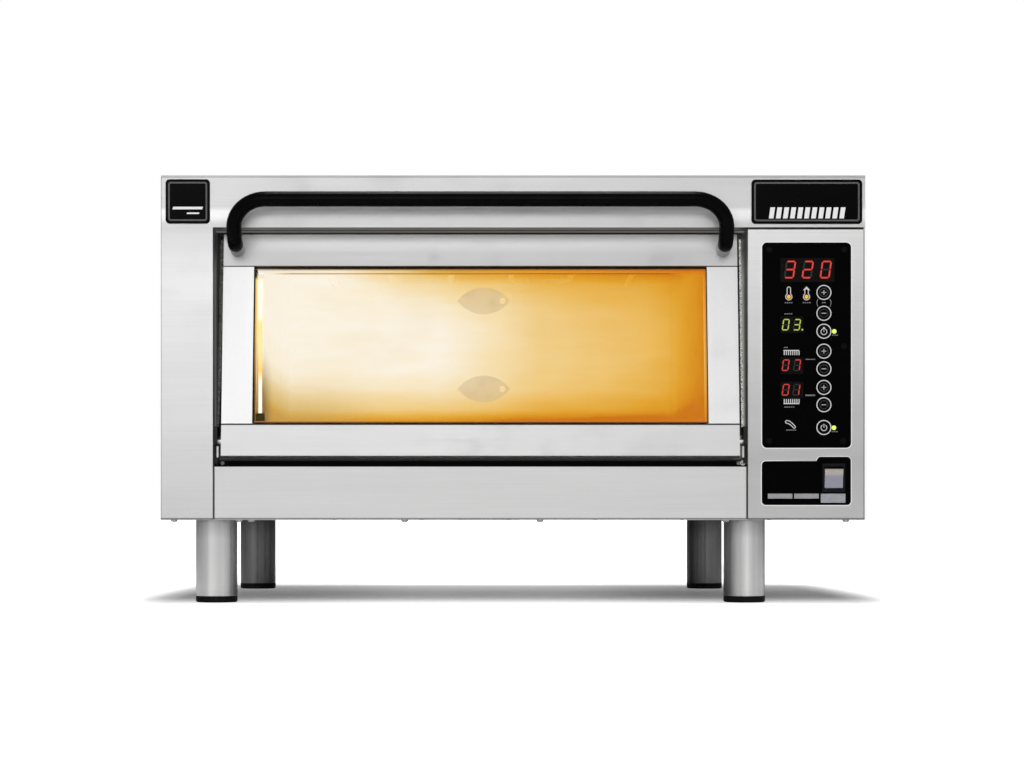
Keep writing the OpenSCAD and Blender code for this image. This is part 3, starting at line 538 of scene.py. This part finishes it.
def lamp_glow(name):
    """The lamp behind its tube: two white-hot stretches, with a golden one between them."""
    q = Paint(name, Roughness=0.2, Emission_Strength=1.0)
    z = q.part(2)
    up = q.span(z, 0.192, 0.33)
    hot = q.ramp(q.span(z, 0.186, 0.334),
                 [(0.0, srgb(200, 150, 60)), (0.05, srgb(255, 252, 240)), (0.26, srgb(255, 250, 232)),
                  (0.33, srgb(250, 205, 110)), (0.5, srgb(250, 222, 150)), (0.66, srgb(251, 214, 126)),
                  (0.72, srgb(255, 250, 232)), (0.94, srgb(255, 253, 244)), (1.0, srgb(235, 190, 100))])
    side = q.span(q.part(0), -0.2612, -0.2590, smooth=True)
    # Painted shade: dark low down on the lamp's right side
    beside = q.ramp(up, [(0.0, srgb(60, 42, 14)), (0.18, srgb(96, 72, 34)), (0.32, srgb(206, 172, 112)),
                         (0.45, srgb(240, 222, 184)), (1.0, srgb(248, 240, 222))])
    hot = q.mix(q.span(q.part(0), -0.2565, -0.2560), hot, beside)
    gold = q.ramp(up, [(0.0, srgb(120, 76, 14)), (0.35, srgb(196, 136, 50)), (0.6, srgb(238, 186, 84)),
                       (1.0, srgb(244, 204, 120))])
    q.to("Emission Color", q.mix(side, gold, hot))
    q.to("Base Color", q.ramp(q.noise(200.0), [(0.3, (0.3, 0.28, 0.22)), (0.7, (0.4, 0.38, 0.3))]))
    return q.bump(q.noise((50, 50, 900)), 0.1, 0.0002).m


def socket_paint(name):
    """Lamp holders: dark ceramic with a faint painted glow below, and lost in the lamp's painted light above.
    """
    q = Paint(name, Specular_IOR_Level=0.1, Emission_Strength=1.0)
    fleck = q.noise(90.0, detail=4)
    q.to("Base Color", q.ramp(fleck, [(0.3, (0.010, 0.007, 0.002)), (0.7, (0.030, 0.022, 0.006))]))
    q.to("Roughness", q.span(fleck, 0.3, 0.7, 0.7, 0.5))
    above = q.math("GREATER_THAN", q.part(2), 0.3)
    bright = q.mix(fleck, srgb(240, 228, 208), srgb(248, 238, 222))
    q.to("Emission Color", q.mix(above, srgb(52, 42, 12), bright))
    return q.bump(fleck, 0.1, 0.0002).m


def pane(name):
    """Toughened door glass: faintly warm, with baked-on haze towards its edges."""
    q = Paint(name, Transmission_Weight=1.0, IOR=1.05, Specular_IOR_Level=0.5)
    haze = q.noise(14.0, detail=5)
    q.to("Base Color", q.ramp(haze, [(0.3, (0.985, 0.98, 0.965)), (0.7, (1.0, 1.0, 0.995))]))
    q.to("Roughness", q.span(haze, 0.3, 0.75, 0.0, 0.012))
    return q.bump(q.noise(6.0, detail=1), 0.02, 0.0003).m


def lens(name):
    """Smoked display window: near black, with the unlit glass a shade lighter than the film."""
    q = Paint(name, Coat_Roughness=0.1, Specular_IOR_Level=0.06)
    q.to("Base Color", q.ramp(q.noise(300.0), [(0.3, (0.003, 0.003, 0.003)), (0.7, (0.006, 0.005, 0.005))]))
    q.to("Roughness", q.span(q.noise(90.0), 0.3, 0.7, 0.22, 0.32))
    return q.bump(q.noise(800.0), 0.04, 0.0001).m


def rocker_paint(name):
    """Silver-lacquered rocker: warm light on the flat that stands out, cool on the one below."""
    q = Paint(name, Metallic=0.25, Coat_Weight=0.4, Coat_Roughness=0.15)
    low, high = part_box("main_rocker")
    tall = high.z - low.z
    up = q.span(q.part(2), low.z + 0.55 * tall, low.z + 0.8 * tall, smooth=True)
    fleck = q.noise(1600.0, detail=2)
    cool = q.ramp(fleck, [(0.3, srgb(152, 152, 170)), (0.7, srgb(178, 178, 193))])
    q.to("Base Color", q.mix(up, cool, srgb(203, 196, 185)))
    q.to("Roughness", q.span(fleck, 0.3, 0.7, 0.32, 0.42))
    return q.bump(fleck, 0.05, 0.0001).m


PAINTS.update({
    "cover": chamber_paint("cover", srgb(206, 184, 148)),
    "zinc": turned("zinc", 0.72),
    "pin": turned("pin", 0.85, 0.18),
    "bracket": dull("bracket", (0.010, 0.010, 0.011), (0.030, 0.029, 0.028), 90.0, (0.3, 0.5), Metallic=0.6),
    "rubber": dull("rubber", (0.003, 0.003, 0.003), (0.009, 0.009, 0.009), 120.0, (0.4, 0.6),
                   Specular_IOR_Level=0.12),
    "badge": gloss_black("badge", coat=0.15, line=FRONT - 0.0011),
    "film": gloss_black("film", base=0.0008, rough=0.32, coat=0.12, specular=0.015),
    "key": gloss_black("key", base=0.001, rough=0.3, coat=0.15),
    "go_lamp": lit("go_lamp", srgb(214, 244, 92), 1.1, (0.2, 0.25, 0.05)),
    "housing": dull("housing", (0.002, 0.002, 0.003), (0.006, 0.006, 0.008), 200.0, (0.2, 0.32),
                    Specular_IOR_Level=0.16),
    "contactor": dull("contactor", (0.20, 0.21, 0.22), (0.30, 0.31, 0.32), 90.0, (0.4, 0.6)),
    "ivory": dull("ivory", (0.62, 0.58, 0.46), (0.74, 0.70, 0.58), 80.0, (0.35, 0.5)),
    "gland": dull("gland", (0.010, 0.010, 0.011), (0.024, 0.024, 0.025), 160.0, (0.4, 0.6)),
    "grip": dull("grip", (0.0010, 0.0010, 0.0012), (0.0024, 0.0024, 0.0027), 46.0, (0.26, 0.34), 0.08, 0.0002,
                 Specular_IOR_Level=0.045),
})

OWN_PAINTS = {"steel_spacer": turned_rim, "steel_bay": bay_paint, "steel_frame": frame_paint,
              "chamber": chamber_paint, "gasket": woven, "wool": wool, "stone": stone, "heater": heater,
              "lamp": lamp_glow, "socket": socket_paint, "lens": lens, "board": board,
              "rocker": rocker_paint, "transformer": winding, "glass": pane}
for name, paint in OWN_PAINTS.items():
    PAINTS[name] = paint(name)

WEARS = {
    "steel_band": ["front_panel"], "steel_column": ["column_panel"], "steel_sill": ["sill_panel"],
    "steel_top": ["top_cover", "base_plate"], "steel_side": ["left_side_panel", "right_side_panel"],
    "steel_rear": ["rear_panel"], "steel_rail": ["door_top_rail"], "steel_low_rail": ["door_bottom_rail"],
    "steel_stile": ["door_stiles"], "steel_leg": ["leg_tubes"], "steel_spacer": ["handle_spacers"],
    "steel_bay": ["bay_liner", "throat_plate"], "steel_frame": ["door_inner_frame", "stone_ledges"],
    "galvanised": ["heat_shield"], "chamber": ["chamber_shell", "element_supports"],
    "cover": ["wall_covers"], "gasket": ["door_gasket"], "stone": ["hearth_stone"],
    "wool": ["insulation_blanket", "insulation_slabs"], "heater": ["heating_elements"],
    "lamp": ["lamp_tube"], "zinc": ["leg_bolts", "casing_screws", "thermocouple"],
    "socket": ["lamp_sockets"], "pin": ["hinge_pins"], "bracket": ["hinge_brackets"], "rubber": ["leg_feet"],
    "badge": ["series_badge", "name_badge"], "film": ["control_overlay", "switch_plate"],
    "key": ["key_temp_up", "key_temp_down", "key_timer", "key_top_up", "key_top_down", "key_bottom_up",
            "key_bottom_down", "key_power"],
    "lens": ["temperature_display", "zone_displays"], "go_lamp": ["status_lamps"], "board": ["control_board"],
    "housing": ["switch_housing"], "rocker": ["main_rocker"], "contactor": ["contactors"],
    "transformer": ["transformer"], "ivory": ["terminal_block"], "gland": ["cable_gland"],
    "glass": ["outer_glass", "inner_glass"], "grip": ["handle"],
}
for paint, names in WEARS.items():
    for name in names:
        slots = nodes[name].data.materials
        for k in range(len(slots)):
            slots[k] = PAINTS[paint]


def soften(name, width, segments=2):
    """Rounds a CAD node's sharp edges as folded or moulded ones are."""
    b = nodes[name].modifiers.new("edge", "BEVEL")
    b.width = width
    b.segments = segments
    b.limit_method = "ANGLE"
    b.angle_limit = math.radians(40)
    b.harden_normals = True


for name in ("front_panel", "column_panel", "sill_panel", "top_cover", "door_top_rail", "door_bottom_rail",
             "door_stiles", "left_side_panel"):
    soften(name, 0.35 * MM)
soften("main_rocker", 0.5 * MM, 3)
soften("switch_housing", 0.3 * MM)


# ---------------- flat printed and applied shapes

class Plate:
    """Thin shapes in the plane of the front, or of the door. Points are (x, z) in millimetres; y0
    and y1 are the front and back of the shape, in millimetres from that plane."""

    def __init__(self, place=None):
        self.bm = bmesh.new()
        self.place = place or (lambda x, y, z: Vector((x * MM, FRONT + y * MM, z * MM)))

    def loop(self, pts, y):
        return [self.bm.verts.new(self.place(x, y, z)) for x, z in pts]

    def outline(self, pts, y0, y1):
        """A filled shape inside a closed line."""
        a, b = self.loop(pts, y0), self.loop(pts, y1)
        self.bm.faces.new(a)
        self.bm.faces.new(list(reversed(b)))
        for k in range(len(a)):
            n = (k + 1) % len(a)
            self.bm.faces.new((a[k], b[k], b[n], a[n]))
        return self

    def band(self, outer, inner, y0, y1, closed=True):
        """The strip between two lines with as many points each."""
        loops = [self.loop(outer, y0), self.loop(inner, y0), self.loop(inner, y1), self.loop(outer, y1)]
        count = len(outer)
        for k in range(count if closed else count - 1):
            n = (k + 1) % count
            for s in range(4):
                p, q = loops[s], loops[(s + 1) % 4]
                self.bm.faces.new((p[k], p[n], q[n], q[k]))
        if not closed:
            for k in (0, count - 1):
                self.bm.faces.new([line[k] for line in loops])
        return self

    def line(self, pts, width, y0, y1):
        """A drawn line of even width with round ends."""
        left, right = [], []
        for k, p in enumerate(pts):
            a, b = pts[max(0, k - 1)], pts[min(len(pts) - 1, k + 1)]
            d = math.hypot(b[0] - a[0], b[1] - a[1])
            nx, nz = -(b[1] - a[1]) / d * width / 2, (b[0] - a[0]) / d * width / 2
            left.append((p[0] + nx, p[1] + nz))
            right.append((p[0] - nx, p[1] - nz))
        return self.band(left, right, y0, y1, closed=False)

    def make(self, name, paint, body="root", slot=None):
        bmesh.ops.recalc_face_normals(self.bm, faces=self.bm.faces)
        mesh = bpy.data.meshes.new(name)
        self.bm.to_mesh(mesh)
        self.bm.free()
        o = bpy.data.objects.new(name, mesh)
        bpy.context.scene.collection.objects.link(o)
        mesh.materials.append(PAINTS[paint])
        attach(o, body)
        return o


def arc(x, z, r, a0=0.0, a1=360.0, count=40):
    """Points on a circle; a full circle leaves out the repeated last one."""
    full = abs(a1 - a0) >= 360
    steps = count if full else count - 1
    return [(x + r * math.cos(math.radians(a0 + (a1 - a0) * k / steps)),
             z + r * math.sin(math.radians(a0 + (a1 - a0) * k / steps))) for k in range(count)]


def corners(x0, z0, x1, z1, slant=0.0):
    """A rectangle, its top edge moved sideways by the slant."""
    return [(x0, z0), (x1, z0), (x1 + slant, z1), (x0 + slant, z1)]


def rounded(x0, z0, x1, z1, r, count=8):
    """A rectangle with rounded corners."""
    pts = []
    for cx, cz, a in ((x1 - r, z1 - r, 0), (x0 + r, z1 - r, 90),
                      (x0 + r, z0 + r, 180), (x1 - r, z0 + r, 270)):
        pts += arc(cx, cz, r, a, a + 90, count)
    return pts


# Display segments glow as lamps do; the inks, the films' bright edge, the cover screws and the glass's low
# edge glow as painted light
PAINTS.update({
    "red": lit("red", srgb(228, 44, 20)),
    "red_dim": lit("red_dim", srgb(205, 36, 24)),
    "green": lit("green", srgb(184, 206, 74)),
    "ghost": printed("ghost", srgb(11, 9, 10)),
    "orange_ink_glow": lit("orange_ink_glow", srgb(250, 184, 44)),
    "white_ink_glow": lit("white_ink_glow", srgb(206, 206, 206), 0.9, (0.06, 0.06, 0.06)),
    "badge_ink_glow": lit("badge_ink_glow", srgb(236, 236, 236), 0.9, (0.06, 0.06, 0.06)),
    "pale_ink_glow": lit("pale_ink_glow", srgb(166, 166, 168), 0.9, (0.06, 0.06, 0.06)),
    "grey_ink": printed("grey_ink", srgb(128, 126, 130)),
    "dim_ink": printed("dim_ink", srgb(74, 74, 76)),
    "sticker": printed("sticker", srgb(176, 176, 178)),
    "sticker_blue": printed("sticker_blue", srgb(176, 178, 186)),
    "rim": lit("rim", srgb(226, 226, 226), 0.9, (0.3, 0.3, 0.3)),
    "seal": dull("seal", (0.006, 0.001, 0.001), (0.020, 0.004, 0.003), 90.0, (0.5, 0.7),
                 Specular_IOR_Level=0.03),
    "bright_spot": lit("bright_spot", srgb(246, 216, 156), 1.0, (0.1, 0.08, 0.05)),
    "glass_edge_glow": lit("glass_edge_glow", srgb(190, 96, 20), 0.8),
    "bump": gloss_black("bump", base=0.002, rough=0.25, specular=0.08),
})

# Seven-segment digits: a to g, each as its ends on a unit cell (x, z)
SEGMENTS = {"a": ((0, 2), (1, 2)), "b": ((1, 1), (1, 2)), "c": ((1, 0), (1, 1)), "d": ((0, 0), (1, 0)),
            "e": ((0, 0), (0, 1)), "f": ((0, 1), (0, 2)), "g": ((0, 1), (1, 1))}
SHOWN = {"0": "abcdef", "1": "bc", "2": "abged", "3": "abgcd", "7": "abc"}
SLANT = 0.146
LENS = (-0.92, -0.8)                         # front and back of what is shown on a display


def digit(plate, figure, x, z, width, height, bar, lit_ones=True):
    """One digit with its lower left at (x, z); width and height are over the bars."""
    w, h = width - bar, (height - bar) / 2
    for s, (a, b) in SEGMENTS.items():
        if (s in SHOWN[figure]) != lit_ones:
            continue
        ax, az = a[0] * w + bar / 2, a[1] * h + bar / 2
        bx, bz = b[0] * w + bar / 2, b[1] * h + bar / 2
        length = math.hypot(bx - ax, bz - az)
        ux, uz = (bx - ax) / length, (bz - az) / length
        gap, half = bar * 0.16, bar / 2 * 0.92
        tip = gap + half
        shape = [(gap, 0), (tip, half), (length - tip, half),
                 (length - gap, 0), (length - tip, -half), (tip, -half)]
        pts = []
        for t, n in shape:
            px, pz = ax + ux * t - uz * n, az + uz * t + ux * n
            pts.append((x + px + pz * SLANT, z + pz))
        plate.outline(pts, *LENS)


def display(name, figures, places, z, width, height, bar, paint, dot=None):
    """A row of digits, and the unlit bars of the same digits."""
    plate, ghost = Plate(), Plate()
    for figure, x in zip(figures, places):
        digit(plate, figure, x, z, width, height, bar)
        digit(ghost, figure, x, z, width, height, bar, False)
    if dot:
        plate.outline(arc(*dot, 0.85, count=16), *LENS)
    plate.make(name, paint, slot="display_lens")
    if sum(len(SHOWN[f]) for f in figures) < 7 * len(figures):
        ghost.make(name + "_unlit", "ghost", slot="display_lens")
    else:
        ghost.bm.free()


display("digits_temperature", "320", (268.7, 286.3, 304.2), 322.9, 10.2, 17.8, 1.7, "red")
display("digits_timer", "03", (266.7, 277.8), 271.3, 6.8, 11.5, 1.2, "green", dot=(287.3, 272.1))
display("digits_top", "07", (266.5, 277.8), 231.0, 6.9, 11.7, 1.25, "red_dim")
display("digits_bottom", "01", (266.5, 277.1), 206.5, 6.9, 11.8, 1.25, "red_dim")

# Keys: a white ring, a faint inner circle and a symbol on each cap
KEY_X = 308.6
KEY_FACE = -1.9
KEYS = {"key_temp_up": (309.0, "plus"), "key_temp_down": (288.3, "minus"), "key_timer": (270.5, "clock"),
        "key_top_up": (250.7, "plus"), "key_top_down": (233.2, "minus"), "key_bottom_up": (214.7, "plus"),
        "key_bottom_down": (197.5, "minus"), "key_power": (174.9, "power")}
INK = (KEY_FACE - 0.12, KEY_FACE)
for key, (z, symbol) in KEYS.items():
    ring = Plate().band(arc(KEY_X, z, 7.45), arc(KEY_X, z, 6.5), *INK)
    ring.make("ring_" + key, "white_ink_glow", key, "key_black")
    mark = Plate()
    if symbol in ("plus", "minus"):
        inner = Plate().band(arc(KEY_X, z, 4.25), arc(KEY_X, z, 3.85), *INK)
        inner.make("inner_" + key, "dim_ink", key, "key_black")
        arm, thin = 2.3, 0.42
        if symbol == "plus":
            mark.outline([(KEY_X + a, z + b) for a, b in (
                (arm, thin), (thin, thin), (thin, arm), (-thin, arm), (-thin, thin), (-arm, thin),
                (-arm, -thin), (-thin, -thin), (-thin, -arm), (thin, -arm), (thin, -thin),
                (arm, -thin))], *INK)
        else:
            mark.outline(rounded(KEY_X - arm, z - thin, KEY_X + arm, z + thin, 0.3, 4), *INK)
    elif symbol == "clock":
        mark.band(arc(KEY_X, z - 0.5, 3.3), arc(KEY_X, z - 0.5, 2.6), *INK)
        mark.outline(corners(KEY_X - 0.9, z + 2.9, KEY_X + 0.9, z + 4.0), *INK)
        mark.line([(KEY_X, z - 0.7), (KEY_X, z + 1.2)], 0.6, *INK)
    else:
        mark.band(arc(KEY_X, z - 0.2, 3.3, 118, 422), arc(KEY_X, z - 0.2, 2.6, 118, 422), *INK, closed=False)
        mark.line([(KEY_X, z - 0.2), (KEY_X, z + 3.6)], 0.7, *INK)
    mark.make("symbol_" + key, "pale_ink_glow" if symbol in ("plus", "minus") else "white_ink_glow", key, "key_black")

# Print on the overlay: pictures only
FILM = (-1.1, -1.0)                          # front and back of the ink
THERMOMETERS = (273.9, 291.5)
BULB_Z = 304.8
icons, dashes, faint = Plate(), Plate(), Plate()


def thermometer(x, z, arrow):
    """Outline of a bulb and stem, open in the middle."""
    top, half, r, w = 10.1, 2.1, 3.5, 0.8
    start = math.degrees(math.asin(half / r))
    around = arc(x, z, r, 90 + start, 450 - start, 25)
    inner = arc(x, z, r - w, 90 + start, 450 - start, 25)
    icons.band(around, inner, *FILM, closed=False)
    base = z + r * math.cos(math.radians(start)) - 0.3
    for s in (-1, 1):
        icons.line([(x + s * (half - w / 2), base), (x + s * (half - w / 2), z + top - half)], w, *FILM)
    if arrow:
        icons.outline([(x - 3.5, z + 6.5), (x, z + 10.3), (x + 3.5, z + 6.5),
                       (x + 1.5, z + 6.5), (x, z + 7.6), (x - 1.5, z + 6.5)], *FILM)
    else:
        icons.band(arc(x, z + top - half, half, 0, 180, 13), arc(x, z + top - half, half - w, 0, 180, 13),
                   *FILM, closed=False)


bulbs = Plate()
for x, arrow in zip(THERMOMETERS, (False, True)):
    thermometer(x, BULB_Z, arrow)
    bulbs.outline(arc(x, BULB_Z, 2.0, count=24), *FILM)
bulbs.make("icon_bulbs", "orange_ink_glow", slot="overlay_black")
for low, high, bar_low, bar_high in ((246.9, 251.9, 251.0, 251.9), (198.2, 203.2, 198.2, 199.1)):
    icons.outline(corners(268.6, bar_low, 284.2, bar_high), *FILM)
    for k in range(8):
        x = 268.9 + k * 2.1
        inside = (low, bar_low - 0.01) if bar_low > low else (bar_high + 0.01, high)
        icons.outline(corners(x, inside[0], x + 0.9, inside[1]), *FILM)
for handset in ([(270.3, 181.0), (272.0, 182.0), (274.4, 181.4), (276.6, 179.8), (278.9, 177.6),
                 (280.6, 175.6), (280.3, 174.9)],
                [(270.3, 181.0), (271.0, 179.3), (273.0, 178.9), (275.4, 177.6), (277.6, 175.6),
                 (279.2, 174.0), (280.3, 174.9)]):
    icons.line(handset, 0.8, *FILM)
icons.make("icons", "white_ink_glow", slot="overlay_black")
STEP = 2.1                                   # from one dash to the next
for x, z, w in ((273.9, 298.9, 8.6), (291.3, 298.9, 7.4), (273.2, 287.8, 7.6), (271.4, 254.4, 4.6),
                (274.0, 195.3, 9.6), (276.0, 172.4, 9.8), (319.6, 266.6, 5.6), (319.2, 170.8, 5.6),
                (308.9, 298.9, 4.2)):
    for k in range(max(2, round(w / STEP))):
        x0 = x - w / 2 + k * STEP
        dashes.outline(corners(x0, z - 0.55, x0 + 1.5, z + 0.55, 0.2), *FILM)
dashes.make("print_dashes", "grey_ink", slot="overlay_black")
for z, t in ((242.6, 0.9), (206.9, 1.5)):
    faint.outline(corners(290.4, z - t / 2, 300.0, z + t / 2), *FILM)
for a in (-30, 150):
    outer, inner = (arc(KEY_X + 0.2, 298.7, r, a, a + 60, 13) for r in (7.4, 6.6))
    faint.band(outer, inner, *FILM, closed=False)
faint.make("print_lines", "grey_ink", slot="overlay_black")
bumps = Plate()
for x, z in ((328.8, 351.6), (328.8, 255.9), (327.8, 161.6), (254.6, 161.6), (254.6, 351.6)):
    bumps.band(arc(x, z, 2.9), arc(x, z, 2.2), *FILM)
    bumps.outline(arc(x, z, 1.6, count=24), -1.06, -1.0)
bumps.make("overlay_bumps", "bump", slot="overlay_black")

# Bright cut edge of the two black films, with a painted glow for its highlight
edge = Plate()
edge.band(rounded(246.6, 154.0, 336.5, 359.4, 5.6), rounded(247.25, 154.65, 335.85, 358.75, 5.05), -0.9, 0.0)
edge.make("overlay_edge", "rim", slot="bright_metal")
SWITCH_CORNERS = ((331.5, 101.9, 270, 360), (331.5, 141.8, 0, 90), (305.9, 141.8, 90, 168),
                  (251.1, 137.5, 90, 180), (251.1, 101.9, 180, 270))
outer, inner = ([p for x, z, a0, a1 in SWITCH_CORNERS for p in arc(x, z, r, a0, a1, 8)] for r in (4.75, 4.05))
Plate().band(outer, inner, -0.9, 0.0).make("switch_plate_edge", "rim", slot="bright_metal")

# Blank labels under the main switch
labels = Plate()
for x in (265.2, 291.4):
    labels.outline(rounded(x - 12.2, 104.4, x + 12.2, 109.2, 0.4, 3), -1.15, -1.0)
labels.make("sticker_pair", "sticker", slot="overlay_black")
wide = Plate().outline(rounded(305.7, 100.2, 330.1, 109.2, 0.4, 3), -1.15, -1.0)
wide.make("sticker_wide", "sticker_blue", slot="overlay_black")

# Badges: a plain printed motif on each
motif = Plate()
for k in range(11):
    x0 = 254.0 + k * 7.0
    motif.outline(corners(x0, 382.6, x0 + 4.6, 393.6, 1.6), *FILM)
motif.outline(corners(-338.4, 391.6, -308.8, 394.2, 0.8), *FILM)
motif.outline(corners(-324.2, 387.0, -312.0, 388.5, 0.4), *FILM)
motif.make("badge_motifs", "badge_ink_glow", slot="badge_black")


# ---------------- chamber and hinge details

COVER_LOW, COVER_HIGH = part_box("wall_covers")
COVER_X = (COVER_LOW.x + COVER_HIGH.x) / 2 / MM
back_y = (COVER_LOW.y - FRONT) / MM
# Screw heads on the wall covers glow as painted highlights
screws = Plate()
for z in (COVER_LOW.z / MM + 16, COVER_HIGH.z / MM - 16):
    head, outer, inner = (arc(COVER_X + 22.5, z, r, count=24) for r in (2.9, 3.6, 3.0))
    screws.outline(head, back_y - 1.6, back_y - 0.02)
    screws.band(outer, inner, back_y - 0.9, back_y - 0.02)
screws.make("cover_screws", "bright_spot", slot="chamber_steel")

trim = Plate()
for side in (-1, 1):
    x = BAY_X / MM + side * 261.5
    if side > 0:
        trim.band(arc(x, 139.9, 2.5, count=20), arc(x, 139.9, 1.5, count=20), 8.0, 10.0)
        trim.outline(arc(x, 139.9, 0.8, count=12), 8.4, 10.0)
    trim.outline(rounded(x - 0.9, 145.2, x + 0.9, 156.6, 0.8, 4), 3.0, 4.4)
trim.make("hinge_screws", "pin", slot="bright_metal")


# ---------------- door details

def door_place(x, y, z):
    """From the door's own frame round the hinge axis, in millimetres."""
    yy, zz = y * MM, z * MM
    return Vector((BAY_X + x * MM, AXIS_Y + yy * math.cos(LEAN) + zz * math.sin(LEAN),
                   AXIS_Z - yy * math.sin(LEAN) + zz * math.cos(LEAN)))


half, z0, z1 = 227.25, 16.45, 175.7          # the window: half its width, its bottom and its top
PANE_Y = -11.02                              # just off the outer pane
seal = Plate(door_place).band(corners(-half, z0, half, z1),
                              corners(-half + 1.5, z0 + 1.1, half - 1.1, z1 - 1.9), -11.6, PANE_Y)
seal.make("glass_seal", "seal", "door", "gasket")
# A painted glow of the chamber's light along the glass's low edge
low_edge = Plate(door_place).outline(corners(-half + 2, z0 + 1.5, half - 2, z0 + 2.3), -11.25, PANE_Y)
low_edge.make("glass_low_edge", "glass_edge_glow", "door", "door_glass")


# ---------------- stage, light and camera

FLOOR_MIDDLE = -0.03                         # x of the middle of the oven's shadow


def floor_paint():
    """Pale floor that runs out to white away from the oven, with a little painted light under its middle. The
    whitening and that light are for camera rays only.
    """
    q = Paint("floor", Roughness=0.9)
    q.to("Base Color", q.ramp(q.noise(3.0), [(0.3, (0.90, 0.90, 0.90)), (0.7, (0.92, 0.92, 0.92))]))
    beside = q.ramp(q.span(q.math("ABSOLUTE", q.part(0)), 0.35, 0.42),
                    [(0.0, 0.0), (0.3, 0.15), (0.6, 0.6), (0.85, 1.0)])
    along = q.ramp(q.span(q.part(1), -0.33, 0.55),
                   [(0.0, 1.0), (0.045, 0.65), (0.093, 0.47), (0.156, 0.22), (0.222, 0.05), (0.318, 0.0),
                    (0.44, 0.03), (0.519, 0.08), (0.602, 0.14), (0.693, 0.22), (0.787, 0.6), (0.886, 0.9),
                    (1.0, 1.0)])
    around = q.mix(1.0, beside, along, "ADD")
    # Painted light: a little glow under the middle of the oven lightens its shadow
    off = q.math("ABSOLUTE", q.math("ADD", q.part(0), -FLOOR_MIDDLE))
    middle = q.span(off, 0.26, 0.05, 0.05, 0.2, smooth=True)
    q.to("Emission Color", q.mix(1.0, around, q.grey(middle), "ADD"))
    q.to("Emission Strength", q.node("ShaderNodeLightPath").outputs["Is Camera Ray"])
    return q.m


bpy.ops.mesh.primitive_plane_add(size=60, location=(0, 0, 0))
floor = bpy.context.object
floor.name = "floor"
floor.data.materials.append(floor_paint())

scene = bpy.context.scene
world = bpy.data.worlds.new("studio")
scene.world = world
world.use_nodes = True
wt = world.node_tree
wt.nodes.clear()


def wnode(kind, links, **props):
    return add_node(wt, kind, links, **props)


def wramp(fac, a, b, stops):
    """Brightness along one direction of the room, halved so that a stop above 1 isn't clipped."""
    span = wnode("ShaderNodeMapRange", {0: fac, 1: a, 2: b}).outputs[0]
    n = wnode("ShaderNodeValToRGB", {0: span})
    n.color_ramp.interpolation = "EASE"
    e = n.color_ramp.elements
    while len(e) < len(stops):
        e.new(0.5)
    for k, (pos, v) in enumerate(stops):
        e[k].position = pos
        e[k].color = (v / 2, v / 2, v / 2, 1)
    return n.outputs[0]


way = wnode("ShaderNodeSeparateXYZ", {0: wnode("ShaderNodeTexCoord", {}).outputs["Generated"]}).outputs
depth_light = wramp(way[1], -1, 1, [(0.0, 1.0), (0.25, 0.90), (0.5, 0.42), (0.75, 0.28), (1.0, 0.30)])
side_light = wramp(way[0], -1, 1, [(0.0, 1.05), (0.5, 1.0), (1.0, 0.92)])
height_light = wramp(way[2], -1, 1, [(0.0, 0.35), (0.40, 0.60), (0.56, 1.10), (0.72, 1.0), (0.85, 0.5),
                                     (1.0, 0.4)])
ROOM = 8.0 * 0.72                            # undoes the three halvings, times the room's strength
level = depth_light
for factor in (side_light, height_light, ROOM):
    level = wnode("ShaderNodeMath", {0: level, 1: factor}, operation="MULTIPLY").outputs[0]
room = wnode("ShaderNodeBackground", {"Color": (1, 1, 1, 1), "Strength": level})
white = wnode("ShaderNodeBackground", {"Color": (1, 1, 1, 1), "Strength": 1.0})
seen = wnode("ShaderNodeMixShader", {0: wnode("ShaderNodeLightPath", {}).outputs["Is Camera Ray"],
                                     1: room.outputs[0], 2: white.outputs[0]})
wnode("ShaderNodeOutputWorld", {0: seen.outputs[0]})


def softbox(name, place, target, size, power):
    light = bpy.data.lights.new(name, "AREA")
    light.shape = "RECTANGLE"
    light.size, light.size_y = size
    light.energy = power
    o = bpy.data.objects.new(name, light)
    scene.collection.objects.link(o)
    o.location = place
    o.rotation_euler = (Vector(target) - Vector(place)).to_track_quat("-Z", "Y").to_euler()
    o.visible_camera = False
    return o


softbox("overhead", (0.0, -0.02, 2.2), (0, 0, 0.2), (0.8, 0.7), 26)
softbox("key", (-0.3, -2.4, 1.0), (-0.05, FRONT, 0.3), (1.6, 0.8), 6)

camera = bpy.data.objects.new("camera", bpy.data.cameras.new("camera"))
scene.collection.objects.link(camera)
camera.location = (-0.0275, FRONT - 2.368, 0.09)
camera.rotation_euler = (math.radians(90), 0, 0)
camera.data.sensor_width = 36.0
camera.data.lens = 83.78
camera.data.shift_x = 0.02598
camera.data.shift_y = 0.12598
camera.data.clip_end = 100.0
scene.camera = camera
scene.view_settings.view_transform = "Standard"

bpy.context.view_layer.update()
